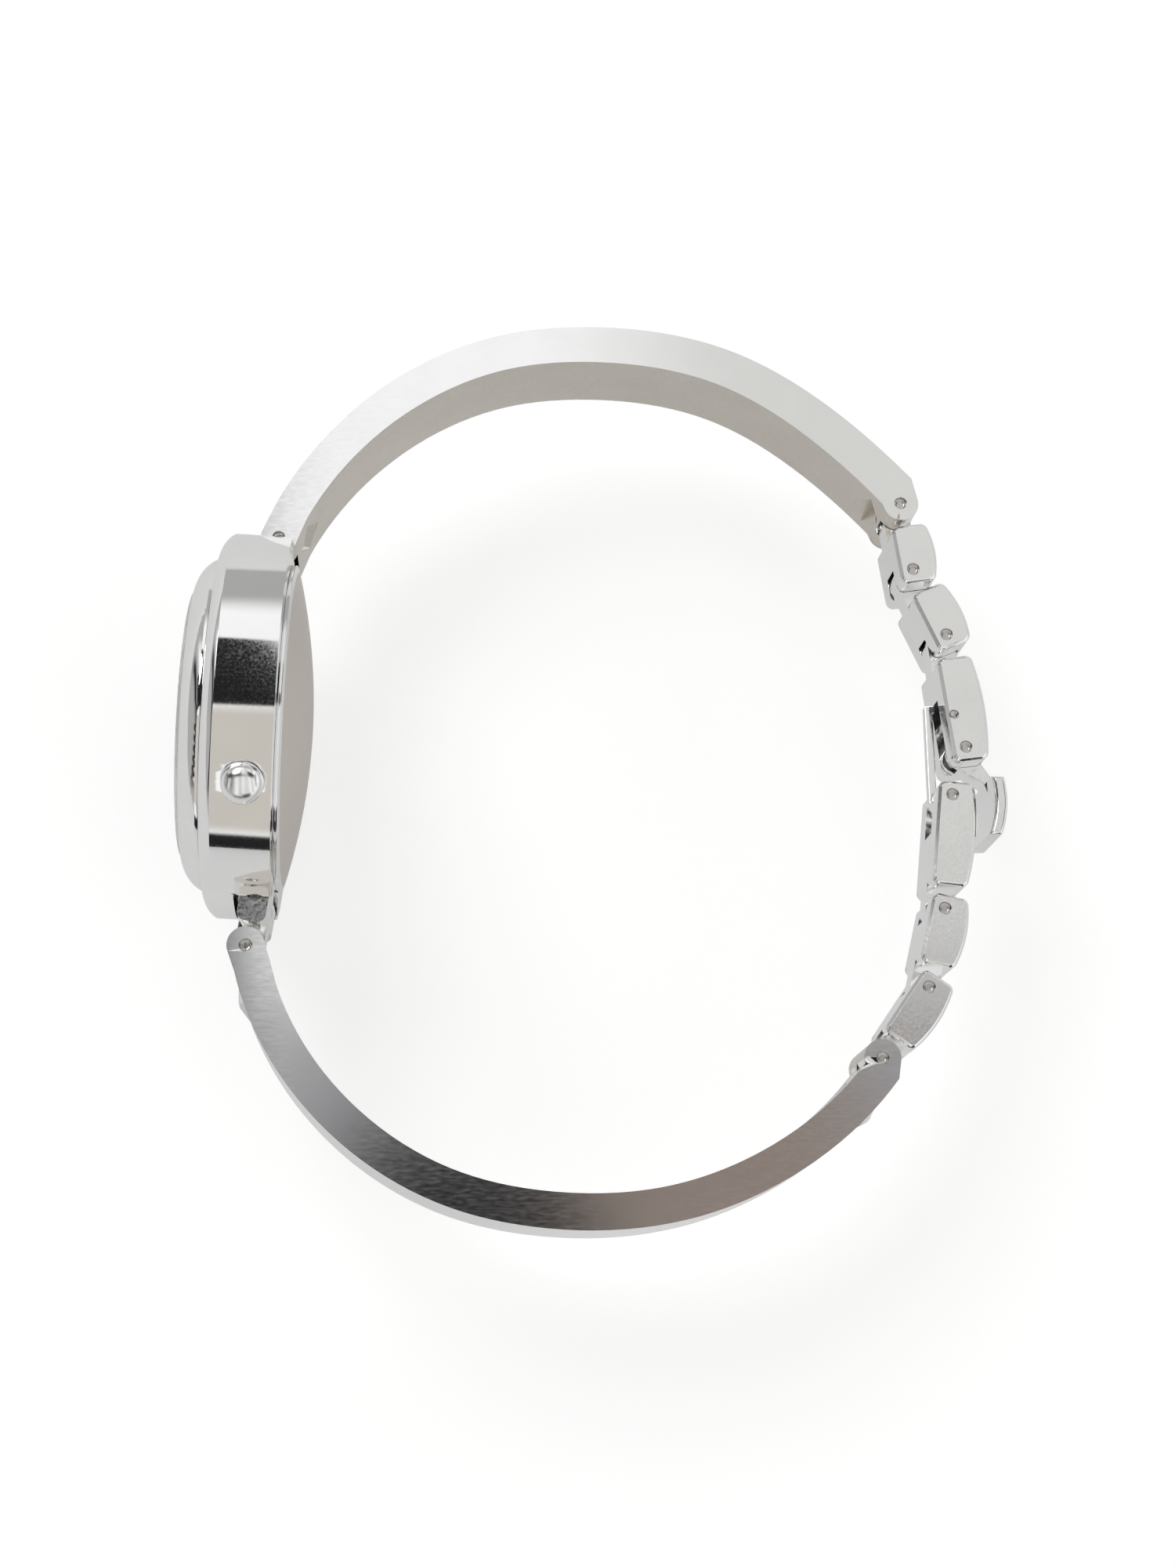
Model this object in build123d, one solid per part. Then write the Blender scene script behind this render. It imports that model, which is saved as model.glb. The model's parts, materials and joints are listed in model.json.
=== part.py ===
from build123d import *
import math
import os

# A ladies' half-bangle wristwatch lying on its side, crown side up.
# +Z is the wrist axis, the dial faces -X, and 12 o'clock lies towards +Y.

# Bangle, an oval ring of two rigid arms closed by a short link bracelet
OVAL_HALF_WIDTH = 26.3
OVAL_HALF_HEIGHT = 30.5
ARM_THICKNESS = 2.5
UPPER_TIP_THICKNESS = 3.0
ARM_WIDTH_AT_CASE = 8.0
BRACELET_WIDTH = 6.6
LUG_PIN_INSET = 0.25

# Hinges, shared by arms and links
PIN_DIAMETER = 0.9
PIN_DIMPLE = 0.08
PIN_FIT = 0.01
RUNNING_FIT = 0.05
SIDE_FIT = 0.08
TIP_FIT = 0.22
EYE_RADIUS = 1.0
TONGUE_WIDTH = 2.2
LUG_WIDTH = 2.6

# Hinge places about the centre of the oval
LOWER_ARM_X, LOWER_ARM_Y = -24.7, -13.1
UPPER_TIP_X, UPPER_TIP_Y = 22.4, 19.6
LINK_AB_X, LINK_AB_Y = 23.1, 14.55
LINK_BC_X, LINK_BC_Y = 25.3, 9.6
LEVER_X, LEVER_Y = 26.3, 1.2
BLADE_X, BLADE_Y = 25.15, -2.3
LINK_DE_X, LINK_DE_Y = 24.2, -10.55
LINK_EF_X, LINK_EF_Y = 22.8, -16.15
LOWER_TIP_X, LOWER_TIP_Y = 19.3, -21.1

# Arm ends
ARM_EYE_RADIUS = 1.3
UPPER_INNER_SHARES = (
    (-0.79, 0.585), (-0.677, 0.728), (-0.494, 0.869), (-0.251, 0.967),
    (0.019, 0.992), (0.357, 0.937), (0.58, 0.82), (0.80, 0.64),
)
LOWER_INNER_SHARES = (
    (-0.875, -0.47), (-0.806, -0.623), (-0.654, -0.793), (-0.401, -0.935),
    (-0.110, -0.989), (0.156, -0.977), (0.395, -0.905), (0.574, -0.803), (0.70, -0.69),
)
ARM_STATIONS = 10
BOSS_LENGTH = 3.0
BOSS_HEIGHT = 0.35
POCKET_LENGTH = 2.6
POCKET_WIDTH = 4.6
POCKET_DEPTH = 1.2
BOSS_FROM_PIN = 3.6
POCKET_FROM_PIN = 2.3
FACET_TOP_SHARE = 0.12

# Links
LINK_INNER = 1.0
LINK_OUTER = 1.5
LINK_CROWN = 0.4
LINK_END = 1.0
LINK_SHOULDER = 1.7
LINK_CORNER = 0.55
LINK_EDGE_BREAK = 0.22

# Clasp
LEVER_THICKNESS = 0.9
LEVER_LENGTH = 6.4
LEVER_STAND_OFF = 1.75
LEVER_START = 2.15
LEVER_BULGE_SHARE = 0.6
LEVER_HEEL_SHARE = 0.6
LEVER_HEEL_DROP_SHARE = 0.8
LEVER_ROOT_SHARE = 0.8
LEVER_ROOT_LOW_SHARE = 0.2
LEVER_EDGE_SHARE = 0.2
LEVER_FORK_TURNS_DEG = (-45, 0, 45, 180)
LEVER_NUB_RADIUS = 0.35
BLADE_THICKNESS = 0.55
BLADE_WIDTH = 2.1
BLADE_TIP_WIDTH = 1.0
BLADE_STAND_OFF = 0.85
BLADE_FOOT_SHARE = 0.6
BLADE_FORK_TURNS_DEG = (135, 180, 215)
BAR_DIAMETER = 0.7
BAR_X, BAR_Y = 25.55, 3.6
HOOK_GAP = 0.5

# Case
CASE_RADIUS = 13.75
CASE_SEAM_X, CASE_SEAM_Y = -22.3, 3.3
CASE_LEAN_DEG = 3.0
WALL_HEIGHT = 4.1
SHOULDER_HEIGHT = 0.9
SHOULDER_BULGE_SHARE = 0.3333
BEZEL_BASE_RADIUS = 12.0
BEZEL_TOP_RADIUS = 10.35
BEZEL_HEIGHT = 1.6
BEZEL_BULGE_SHARE = 0.1667
CRYSTAL_RADIUS = 9.7
CRYSTAL_THICKNESS = 1.2
CRYSTAL_PROUD = 0.3
CRYSTAL_BREAK = 0.2
GASKET_WALL = 0.3
SEAT_LIP = 0.5
SEAT_THICKNESS = 0.35
CASE_BORE_RADIUS = 10.9
BORE_HEIGHT = 4.25
FLANGE_RADIUS = 10.2
BACK_RADIUS = 11.75
BACK_RIM = 0.3
BACK_DOME = 1.6
BACK_WALL = 0.6
BACK_SKIRT = 0.9
BACK_SKIRT_WALL = 0.5
SEAL_GAP = 0.06
LUG_PIN_RADIUS = 13.1
LUG_PIN_HEIGHT = 1.15
NOTCH_CLEARANCE = 0.15
LUG_ROOT = 0.8

# Crown and keyless work
CROWN_BELOW_3_DEG = 30.0
CROWN_RADIUS = 1.45
CROWN_LENGTH = 1.5
CROWN_GAP = 0.2
CROWN_DOME = 0.25
CROWN_SKIRT_DEPTH = 0.7
CROWN_PULL = 0.9
CROWN_AXIS_HEIGHT = 1.9
TUBE_RADIUS = 0.95
TUBE_BORE_RADIUS = 0.6
TUBE_PROUD = 0.45
STEM_RADIUS = 0.4
STEM_REACH = 5.2
STEM_GROOVE_FROM_TIP = 2.1
STEM_GROOVE_WIDTH = 0.5
STEM_GROOVE_RADIUS = 0.22
STEM_ROOM_OVERLAP = 1.0
YOKE_LENGTH_SHARE = 2.4
YOKE_WIDTH_SHARE = 4
YOKE_ROOM_SHARE = 5
CROWN_RING_WALL = 0.3
CROWN_RING_WIDTH = 0.4

# Dial and hands
DIAL_RADIUS = 10.75
DIAL_THICKNESS = 0.35
DIAL_HOLE_RADIUS = 0.85
MARKER_LENGTH = 1.5
MARKER_WIDTH = 0.35
MARKER_HEIGHT = 0.12
MARKER_RADIUS = 8.3
HOURS = 12
HOUR_HAND_LENGTH = 5.0
MINUTE_HAND_LENGTH = 7.6
HAND_WIDTH = 0.7
HAND_TAIL = 1.4
HAND_THICKNESS = 0.12
HAND_HUB_RADIUS = 0.75
HAND_GAP = 0.15
HOUR_PIPE_RADIUS = 0.6
CANNON_RADIUS = 0.42
CENTRE_POST_RADIUS = 0.25
ARBOR_FIT = 0.04
HANDS_HOUR_DEG = 305.0
HANDS_MINUTE_DEG = 54.0

# Movement
MOVEMENT_RADIUS = 8.4
MOVEMENT_HEIGHT = 3.2
PLATE_THICKNESS = 1.0
HOLDER_FIT = 0.1
BATTERY_RADIUS = 3.1
BATTERY_HEIGHT = 1.1
BATTERY_OFFSET = 4.6
BATTERY_AT_DEG = 115.0
COIL_LENGTH = 6.4
COIL_RADIUS = 0.5
COIL_WINDING_STEP = 0.08
COIL_END = 0.5
COIL_X, COIL_Y = -5.4, -1.0
GEAR_MODULE = 0.11
PINION_TEETH = 10
MINUTE_WHEEL_TEETH = 30
MINUTE_PINION_TEETH = 8
HOUR_WHEEL_TEETH = 32
GEAR_THICKNESS = 0.22
GEAR_CLEARANCE = 0.03
GEAR_ROOM_TEETH = 4
TOOTH_DEPTH_SHARE = 2.4
TOOTH_TIP_SHARE = 0.4
TOOTH_ROOT_SHARE = 1.25
MINUTE_WHEEL_AT_DEG = 250.0
ROTOR_RADIUS = 0.7
ROTOR_X, ROTOR_Y = -2.6, -3.6
STRAP_THICKNESS = 0.15
STRAP_WIDTH = 1.5
STRAP_TURN_DEG = 60.0
SCREW_HEAD_RADIUS = 0.55
SCREW_HEAD_HEIGHT = 0.3
SCREW_SHANK_RADIUS = 0.25
SCREW_RING_RADIUS = 7.4
SCREW_SLOT = 0.12
SCREWS_AT_DEG = (20, 160, 290)
OVERRUN = 6.0

os.makedirs("parts", exist_ok=True)
pieces = {}


def place(x, y):
    return Pos(x, y, 0)


def slab(face, width):
    """Extrude a side outline to a width shared equally about the mid plane."""
    return extrude(face, width / 2, both=True)


def rod(x, y, radius, length):
    return place(x, y) * Cylinder(radius, length)


def pin(x, y, length, diameter=PIN_DIAMETER):
    """A hinge pin with a shallow dimple in each end."""
    body = rod(x, y, diameter / 2, length)
    for side in (-1, 1):
        dimple = Pos(x, y, side * length / 2) * Cylinder(diameter / 4, PIN_DIMPLE * 2)
        body -= dimple
    return body


def cut_slot(body, x, y, width, reach, toward_deg):
    """Open a fork: a slot for the neighbour's tongue round the pin, open outwards."""
    eye = rod(x, y, reach, width)
    run = Rot(0, 0, toward_deg) * Pos(OVERRUN / 2, 0, 0) * Box(OVERRUN, 2 * reach, width)
    return body - eye - place(x, y) * run


def width_at(x):
    """Width of the arms, which taper from the case to the bracelet."""
    share = (x - LOWER_ARM_X) / (UPPER_TIP_X - LOWER_ARM_X)
    return ARM_WIDTH_AT_CASE + (BRACELET_WIDTH - ARM_WIDTH_AT_CASE) * share


def arm_envelope():
    """Tapered slab that gives both arms their width."""
    left = -OVAL_HALF_WIDTH - OVERRUN
    right = OVAL_HALF_WIDTH + OVERRUN
    outline = Polyline(
        (left, -width_at(left) / 2),
        (right, -width_at(right) / 2),
        (right, width_at(right) / 2),
        (left, width_at(left) / 2),
        close=True,
    )
    face = Plane.XZ * make_face(outline)
    tall = OVAL_HALF_HEIGHT + OVERRUN
    return extrude(face, tall, both=True)


def arm_line(shares):
    """Inner edge of an arm as one curve through a few stations of the oval."""
    points = [(x * OVAL_HALF_WIDTH, y * OVAL_HALF_HEIGHT) for x, y in shares]
    return Spline(*points)


def outward(line, share, distance):
    """Point at a share of an arm's inner edge, moved out of the bangle by a distance."""
    spot = line @ share
    along = line % share
    normal = Vector(along.Y, -along.X, 0)
    if normal.dot(spot) < 0:
        normal = -normal
    return spot + normal * distance, normal


def arm_outline(line, start_pin, end_pin, tip_thickness):
    """Side outline of an arm: a curved band with a rounded eye at each pin."""
    shares = [index / ARM_STATIONS for index in range(ARM_STATIONS + 1)]
    gain = tip_thickness - ARM_THICKNESS
    outer = Spline(*[outward(line, share, ARM_THICKNESS + gain * share)[0] for share in shares])
    start = Line(line @ 0, outer @ 0)
    finish = Line(line @ 1, outer @ 1)
    face = make_face(Curve() + [line, outer, start, finish])
    for end, centre in ((start, start_pin), (finish, end_pin)):
        eye = CenterArc(centre, ARM_EYE_RADIUS, 0, 360)
        face += make_hull([end.edge(), eye.edge()])
    return face


def facet(length, width, height):
    """A low four-sided pyramid on a diamond base, its point cut flat."""
    base = Polyline((-length / 2, 0), (0, -width / 2), (length / 2, 0), (0, width / 2), close=True)
    top_length = length * FACET_TOP_SHARE / 2
    top_width = width * FACET_TOP_SHARE / 2
    top = Polyline((-top_length, 0), (0, -top_width), (top_length, 0), (0, top_width), close=True)
    return loft([make_face(base), Pos(0, 0, height) * make_face(top)])


def facet_plane(line, share, distance):
    """Plane on an arm's face, X along the arm and Z out of the bangle."""
    spot, normal = outward(line, share, distance)
    return Plane(origin=spot, x_dir=line % share, z_dir=normal)


def slab_diamond(length, width, height):
    outline = Polyline(
        (-length / 2, 0), (0, -width / 2), (length / 2, 0), (0, width / 2), close=True
    )
    return extrude(make_face(outline), height)


def dress_arm_end(body, line, boss_share, pocket_share, thickness):
    """Faceted boss on the outer face and a diamond pocket inside, nearer the pin."""
    width = width_at((line @ boss_share).X)
    sunk = BOSS_HEIGHT / 4
    outer = facet_plane(line, boss_share, thickness - sunk)
    boss = outer * facet(BOSS_LENGTH, width, BOSS_HEIGHT + sunk)
    pocket = facet_plane(line, pocket_share, 0) * facet(POCKET_LENGTH, POCKET_WIDTH, POCKET_DEPTH)
    mouth = facet_plane(line, pocket_share, -POCKET_DEPTH) * slab_diamond(
        POCKET_LENGTH, POCKET_WIDTH, POCKET_DEPTH
    )
    return body + boss - (pocket + mouth)


def make_arm(inner_shares, case_pin, tip_pin, case_turn, tip_turn, tip_thickness):
    line = arm_line(inner_shares)
    body = slab(arm_outline(line, case_pin, tip_pin, tip_thickness), ARM_WIDTH_AT_CASE + OVERRUN)
    body = body & arm_envelope()
    start_gap = (line @ 0 - Vector(*case_pin, 0)).length
    finish_gap = (line @ 1 - Vector(*tip_pin, 0)).length
    boss_share = (BOSS_FROM_PIN - start_gap) / line.length
    pocket_share = max(0, (POCKET_FROM_PIN - start_gap) / line.length)
    body = dress_arm_end(body, line, boss_share, pocket_share, ARM_THICKNESS)
    boss_share = 1 - (BOSS_FROM_PIN - finish_gap) / line.length
    pocket_share = 1 - max(0, (POCKET_FROM_PIN - finish_gap) / line.length)
    body = dress_arm_end(body, line, boss_share, pocket_share, tip_thickness)
    body = body & arm_envelope()
    reach = EYE_RADIUS + TIP_FIT
    body = cut_slot(body, *tip_pin, TONGUE_WIDTH + 2 * SIDE_FIT, reach, tip_turn)
    body = cut_slot(body, *case_pin, LUG_WIDTH + 2 * SIDE_FIT, reach, case_turn)
    for x, y in (tip_pin, case_pin):
        body -= rod(x, y, PIN_DIAMETER / 2 + PIN_FIT, ARM_WIDTH_AT_CASE + OVERRUN)
    return body


def link_frame(fork, tongue):
    """Plane whose X runs from a link's fork pin to its tongue pin."""
    run = (tongue[0] - fork[0], tongue[1] - fork[1], 0)
    return Plane(origin=(fork[0], fork[1], 0), x_dir=run, z_dir=(0, 0, 1))


def pitch(fork, tongue):
    return math.hypot(tongue[0] - fork[0], tongue[1] - fork[1])


def link_body(fork, tongue, outside, inner=LINK_INNER, outer=LINK_OUTER):
    """A bracelet link: a crowned body with a fork at one pin and a tongue at the other."""
    length = pitch(fork, tongue)
    end = length - LINK_SHOULDER
    low = -inner * outside
    high = outer * outside
    middle = (end - LINK_END) / 2
    crown = (outer + LINK_CROWN) * outside
    outline = Curve() + [
        Line((-LINK_END, high), (-LINK_END, low)),
        Line((-LINK_END, low), (end, low)),
        Line((end, low), (end, high)),
        ThreePointArc((end, high), (middle, crown), (-LINK_END, high)),
    ]
    face = make_face(outline)
    face = fillet(face.vertices(), LINK_CORNER)
    body = slab(face, BRACELET_WIDTH)
    rims = body.faces().filter_by(Axis.Z).edges()
    body = chamfer(rims, LINK_EDGE_BREAK)
    tip = Pos(length, 0, 0) * Cylinder(EYE_RADIUS, TONGUE_WIDTH)
    neck = Pos((end + length) / 2 - LINK_CORNER, 0, 0) * Box(
        length - end + 2 * LINK_CORNER, 2 * EYE_RADIUS, TONGUE_WIDTH
    )
    neck = neck & Pos(end - LINK_CORNER, 0, 0) * Box(
        2 * (length - end + LINK_CORNER), 2 * EYE_RADIUS, TONGUE_WIDTH
    )
    body = body + neck + tip
    body -= Pos(length, 0, 0) * Cylinder(PIN_DIAMETER / 2 + RUNNING_FIT, BRACELET_WIDTH)
    return link_frame(fork, tongue) * body


def finish_fork(body, fork, turn_deg, reach=EYE_RADIUS + TIP_FIT):
    body = cut_slot(body, *fork, TONGUE_WIDTH + 2 * SIDE_FIT, reach, turn_deg)
    return body - rod(*fork, PIN_DIAMETER / 2 + PIN_FIT, BRACELET_WIDTH + OVERRUN)


def direction_deg(start, end):
    return math.degrees(math.atan2(end[1] - start[1], end[0] - start[0]))


def case_plane():
    """Plane on the case-back seam: X to 3 o'clock, Y to 12 o'clock, Z out of the dial."""
    lean = math.radians(CASE_LEAN_DEG)
    out = (-math.cos(lean), math.sin(lean), 0)
    return Plane(origin=(CASE_SEAM_X, CASE_SEAM_Y, 0), x_dir=(0, 0, 1), z_dir=out)


case = case_plane()


def lug_spot(side):
    """Hinge place of a case lug, seen along the wrist axis."""
    spot = case.from_local_coords(Vector(0, side * LUG_PIN_RADIUS, LUG_PIN_HEIGHT))
    return spot.X, spot.Y


seam = (CASE_SEAM_X, CASE_SEAM_Y)
upper_lug = lug_spot(1)
lower_lug = lug_spot(-1)
lower_arm_pin = (LOWER_ARM_X, LOWER_ARM_Y)
upper_tip = (UPPER_TIP_X, UPPER_TIP_Y)
link_ab = (LINK_AB_X, LINK_AB_Y)
link_bc = (LINK_BC_X, LINK_BC_Y)
lever_pin = (LEVER_X, LEVER_Y)
blade_pin = (BLADE_X, BLADE_Y)
link_de = (LINK_DE_X, LINK_DE_Y)
link_ef = (LINK_EF_X, LINK_EF_Y)
lower_tip = (LOWER_TIP_X, LOWER_TIP_Y)


def on_case(body):
    return case * body


def ring(outer, inner, low, high):
    tall = high - low
    body = Pos(0, 0, (low + high) / 2) * Cylinder(outer, tall)
    return body - Pos(0, 0, (low + high) / 2) * Cylinder(inner, tall + OVERRUN)


def disc(radius, low, high):
    return Pos(0, 0, (low + high) / 2) * Cylinder(radius, high - low)


case_top = WALL_HEIGHT + SHOULDER_HEIGHT
bezel_top = case_top + BEZEL_HEIGHT
crystal_top = bezel_top + CRYSTAL_PROUD
crystal_low = crystal_top - CRYSTAL_THICKNESS
dial_top = BORE_HEIGHT
dial_low = dial_top - DIAL_THICKNESS
movement_low = dial_low - MOVEMENT_HEIGHT


def crown_plane(distance):
    """Plane on the stem axis, Z pointing outwards along the stem."""
    angle = math.radians(-CROWN_BELOW_3_DEG)
    out = (math.cos(angle), math.sin(angle), 0)
    spot = (out[0] * distance, out[1] * distance, CROWN_AXIS_HEIGHT)
    return Plane(origin=spot, x_dir=(0, 0, 1), z_dir=out)


def along_stem(body, distance):
    return crown_plane(distance) * body


def make_case_middle():
    """Round case with a notch and a centre lug at 12 and 6 o'clock."""
    body = revolve(Plane.XZ * case_outline(), Axis.Z)
    body -= disc(CASE_BORE_RADIUS, -OVERRUN, BORE_HEIGHT)
    body -= disc(FLANGE_RADIUS, -OVERRUN, case_top + OVERRUN)
    room = ARM_EYE_RADIUS + NOTCH_CLEARANCE
    floor = LUG_PIN_RADIUS - room
    root_low = floor - LUG_ROOT
    eye_low = LUG_PIN_HEIGHT - EYE_RADIUS
    for side in (-1, 1):
        mouth = Pos(0, side * (floor + OVERRUN / 2), LUG_PIN_HEIGHT + room - OVERRUN / 2)
        body -= mouth * Box(ARM_WIDTH_AT_CASE + 4 * SIDE_FIT, OVERRUN, OVERRUN)
        root = Pos(0, side * (root_low + LUG_PIN_RADIUS) / 2, LUG_PIN_HEIGHT) * Box(
            LUG_WIDTH, LUG_PIN_RADIUS - root_low, 2 * EYE_RADIUS
        )
        eye = Pos(0, side * LUG_PIN_RADIUS, LUG_PIN_HEIGHT) * Rot(0, 90, 0)
        body += root - disc(CASE_BORE_RADIUS, eye_low - OVERRUN, BORE_HEIGHT)
        body += eye * Cylinder(EYE_RADIUS, LUG_WIDTH)
        body -= eye * Cylinder(PIN_DIAMETER / 2 + RUNNING_FIT, LUG_WIDTH + OVERRUN)
    middle = (CASE_BORE_RADIUS + CASE_RADIUS) / 2
    return body - along_stem(Cylinder(TUBE_RADIUS + PIN_FIT, OVERRUN), middle)


def case_outline():
    """Half section of the case middle with its rounded front shoulder."""
    wall = Line((CASE_RADIUS, 0), (CASE_RADIUS, WALL_HEIGHT))
    bulge = -SHOULDER_HEIGHT * SHOULDER_BULGE_SHARE
    bend = SagittaArc((CASE_RADIUS, WALL_HEIGHT), (BEZEL_BASE_RADIUS, case_top), bulge)
    top = Line((BEZEL_BASE_RADIUS, case_top), (0, case_top))
    core = Line((0, case_top), (0, 0))
    floor = Line((0, 0), (CASE_RADIUS, 0))
    return make_face(Curve() + [wall, bend, top, core, floor])


def make_bezel():
    seat = crystal_low - SEAT_THICKNESS
    inner = CRYSTAL_RADIUS + GASKET_WALL
    bulge = -BEZEL_HEIGHT * BEZEL_BULGE_SHARE
    side = SagittaArc((BEZEL_BASE_RADIUS, case_top), (BEZEL_TOP_RADIUS, bezel_top), bulge)
    rest = Polyline(
        (BEZEL_TOP_RADIUS, bezel_top),
        (inner, bezel_top),
        (inner, crystal_low),
        (CRYSTAL_RADIUS - SEAT_LIP, crystal_low),
        (CRYSTAL_RADIUS - SEAT_LIP, case_top),
        (BEZEL_BASE_RADIUS, case_top),
    )
    return revolve(Plane.XZ * make_face(Curve() + [side, rest]), Axis.Z)


def make_case_back():
    """Snap-on back, domed outside, with a skirt inside the case bore."""
    low = -BACK_RIM - BACK_DOME
    curve = (BACK_RADIUS ** 2 + BACK_DOME ** 2) / (2 * BACK_DOME)
    skirt_radius = CASE_BORE_RADIUS - SEAL_GAP
    body = disc(BACK_RADIUS, low - OVERRUN, 0) & Pos(0, 0, low + curve) * Sphere(curve)
    body += disc(skirt_radius, 0, BACK_SKIRT)
    hollow = Pos(0, 0, low + BACK_WALL + curve) * Sphere(curve)
    return body - (hollow & disc(skirt_radius - BACK_SKIRT_WALL, low - OVERRUN, OVERRUN))


def make_crystal():
    body = disc(CRYSTAL_RADIUS, crystal_low, crystal_top)
    rim = body.edges().group_by(Axis.Z)[-1]
    return chamfer(rim, CRYSTAL_BREAK)


def make_crown():
    """Plain domed crown with a raised ring round its end and a skirt over the tube."""
    body = Pos(0, 0, CROWN_LENGTH / 2) * Cylinder(CROWN_RADIUS, CROWN_LENGTH)
    body = fillet(body.edges().group_by(Axis.Z)[-1], CROWN_DOME)
    body -= Pos(0, 0, CROWN_LENGTH) * (
        Cylinder(CROWN_RADIUS - CROWN_RING_WALL, CROWN_RING_WALL / 2)
        - Cylinder(CROWN_RADIUS - 2 * CROWN_RING_WALL, CROWN_RING_WALL)
    )
    skirt = Cylinder(TUBE_RADIUS + RUNNING_FIT, CROWN_SKIRT_DEPTH)
    body -= Pos(0, 0, CROWN_SKIRT_DEPTH / 2) * skirt
    return along_stem(body, CASE_RADIUS + CROWN_GAP)


def make_stem():
    """Stem from the crown into the movement, with the groove that the setting lever holds."""
    outer_end = CASE_RADIUS + CROWN_GAP + CROWN_SKIRT_DEPTH
    length = outer_end - STEM_REACH
    body = Pos(0, 0, length / 2) * Cylinder(STEM_RADIUS, length)
    groove = Cylinder(STEM_RADIUS + OVERRUN, STEM_GROOVE_WIDTH) - Cylinder(
        STEM_GROOVE_RADIUS, STEM_GROOVE_WIDTH
    )
    body -= Pos(0, 0, STEM_GROOVE_FROM_TIP) * groove
    return along_stem(body, STEM_REACH)


def make_setting_lever():
    """Yoke plate that sits in the stem's groove and carries it when the crown is pulled."""
    spot = STEM_REACH + STEM_GROOVE_FROM_TIP
    thickness = STEM_GROOVE_WIDTH - 2 * GEAR_CLEARANCE
    plate = Box(YOKE_LENGTH_SHARE * STEM_RADIUS, YOKE_WIDTH_SHARE * STEM_RADIUS, thickness)
    plate = Pos(-STEM_RADIUS, 0, 0) * plate
    hole_radius = STEM_GROOVE_RADIUS + GEAR_CLEARANCE
    hole = Cylinder(hole_radius, OVERRUN)
    mouth = Pos(STEM_RADIUS, 0, 0) * Box(2 * STEM_RADIUS, 2 * hole_radius, OVERRUN)
    return along_stem(plate - hole - mouth, spot)


def make_crown_tube():
    length = CASE_RADIUS - CASE_BORE_RADIUS + TUBE_PROUD
    body = Cylinder(TUBE_RADIUS, length) - Cylinder(TUBE_BORE_RADIUS, length)
    return along_stem(body, CASE_BORE_RADIUS + length / 2)


def make_crown_gasket():
    body = Cylinder(TUBE_BORE_RADIUS - PIN_FIT, CROWN_RING_WIDTH) - Cylinder(
        STEM_RADIUS + ARBOR_FIT, CROWN_RING_WIDTH
    )
    return along_stem(body, (CASE_BORE_RADIUS + CASE_RADIUS) / 2)


def make_dial():
    body = disc(DIAL_RADIUS, dial_low, dial_top) - disc(DIAL_HOLE_RADIUS, dial_low, dial_top)
    marker = Pos(0, MARKER_RADIUS, dial_top + MARKER_HEIGHT / 2) * Box(
        MARKER_WIDTH, MARKER_LENGTH, MARKER_HEIGHT
    )
    for hour in range(HOURS):
        body += Rot(0, 0, hour * 360 / HOURS) * marker
    return body


def make_hand(length, width, low, bore):
    """A dauphine hand with a round hub and a short tail."""
    outline = Polyline(
        (-width / 2, 0), (0, length), (width / 2, 0), (0, -HAND_TAIL), close=True
    )
    face = make_face(outline) + Circle(HAND_HUB_RADIUS)
    body = Pos(0, 0, low) * extrude(face, HAND_THICKNESS)
    return body - disc(bore, low - OVERRUN, low + OVERRUN)


def gear(teeth, thickness, bore):
    """A small wheel with straight-flanked teeth cut between root and tip circles."""
    tip = GEAR_MODULE * (teeth + 2) / 2 - GEAR_CLEARANCE
    root = GEAR_MODULE * (teeth - TOOTH_DEPTH_SHARE) / 2
    tooth_tip = GEAR_MODULE * TOOTH_TIP_SHARE
    tooth_root = GEAR_MODULE * TOOTH_ROOT_SHARE
    tooth = Polyline(
        (root / 2, -tooth_root / 2),
        (root, -tooth_root / 2),
        (tip, -tooth_tip / 2),
        (tip, tooth_tip / 2),
        (root, tooth_root / 2),
        (root / 2, tooth_root / 2),
        close=True,
    )
    face = Circle(root)
    for index in range(teeth):
        face += Rot(0, 0, index * 360 / teeth) * make_face(tooth)
    return extrude(face - Circle(bore), thickness)


hour_hand_low = dial_top + MARKER_HEIGHT + HAND_GAP
minute_hand_low = hour_hand_low + HAND_THICKNESS + HAND_GAP
wheel_floor = dial_low - PLATE_THICKNESS
hour_wheel_low = wheel_floor + 2 * GEAR_THICKNESS + 2 * GEAR_CLEARANCE
cannon_wheel_low = wheel_floor + GEAR_CLEARANCE


def make_hour_wheel():
    bore = CANNON_RADIUS + ARBOR_FIT
    body = Pos(0, 0, hour_wheel_low) * gear(HOUR_WHEEL_TEETH, GEAR_THICKNESS, bore)
    pipe = disc(HOUR_PIPE_RADIUS, hour_wheel_low, hour_hand_low + HAND_THICKNESS)
    return body + (pipe - disc(bore, hour_wheel_low, hour_hand_low + OVERRUN))


def make_cannon_pinion():
    bore = CENTRE_POST_RADIUS + ARBOR_FIT
    body = Pos(0, 0, cannon_wheel_low) * gear(PINION_TEETH, GEAR_THICKNESS, bore)
    pipe = disc(CANNON_RADIUS, cannon_wheel_low, minute_hand_low + HAND_THICKNESS)
    return body + (pipe - disc(bore, cannon_wheel_low - OVERRUN, minute_hand_low - HAND_GAP))


def minute_wheel_place():
    centre = GEAR_MODULE * (PINION_TEETH + MINUTE_WHEEL_TEETH) / 2
    angle = math.radians(MINUTE_WHEEL_AT_DEG)
    return Pos(centre * math.cos(angle), centre * math.sin(angle), 0)


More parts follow.
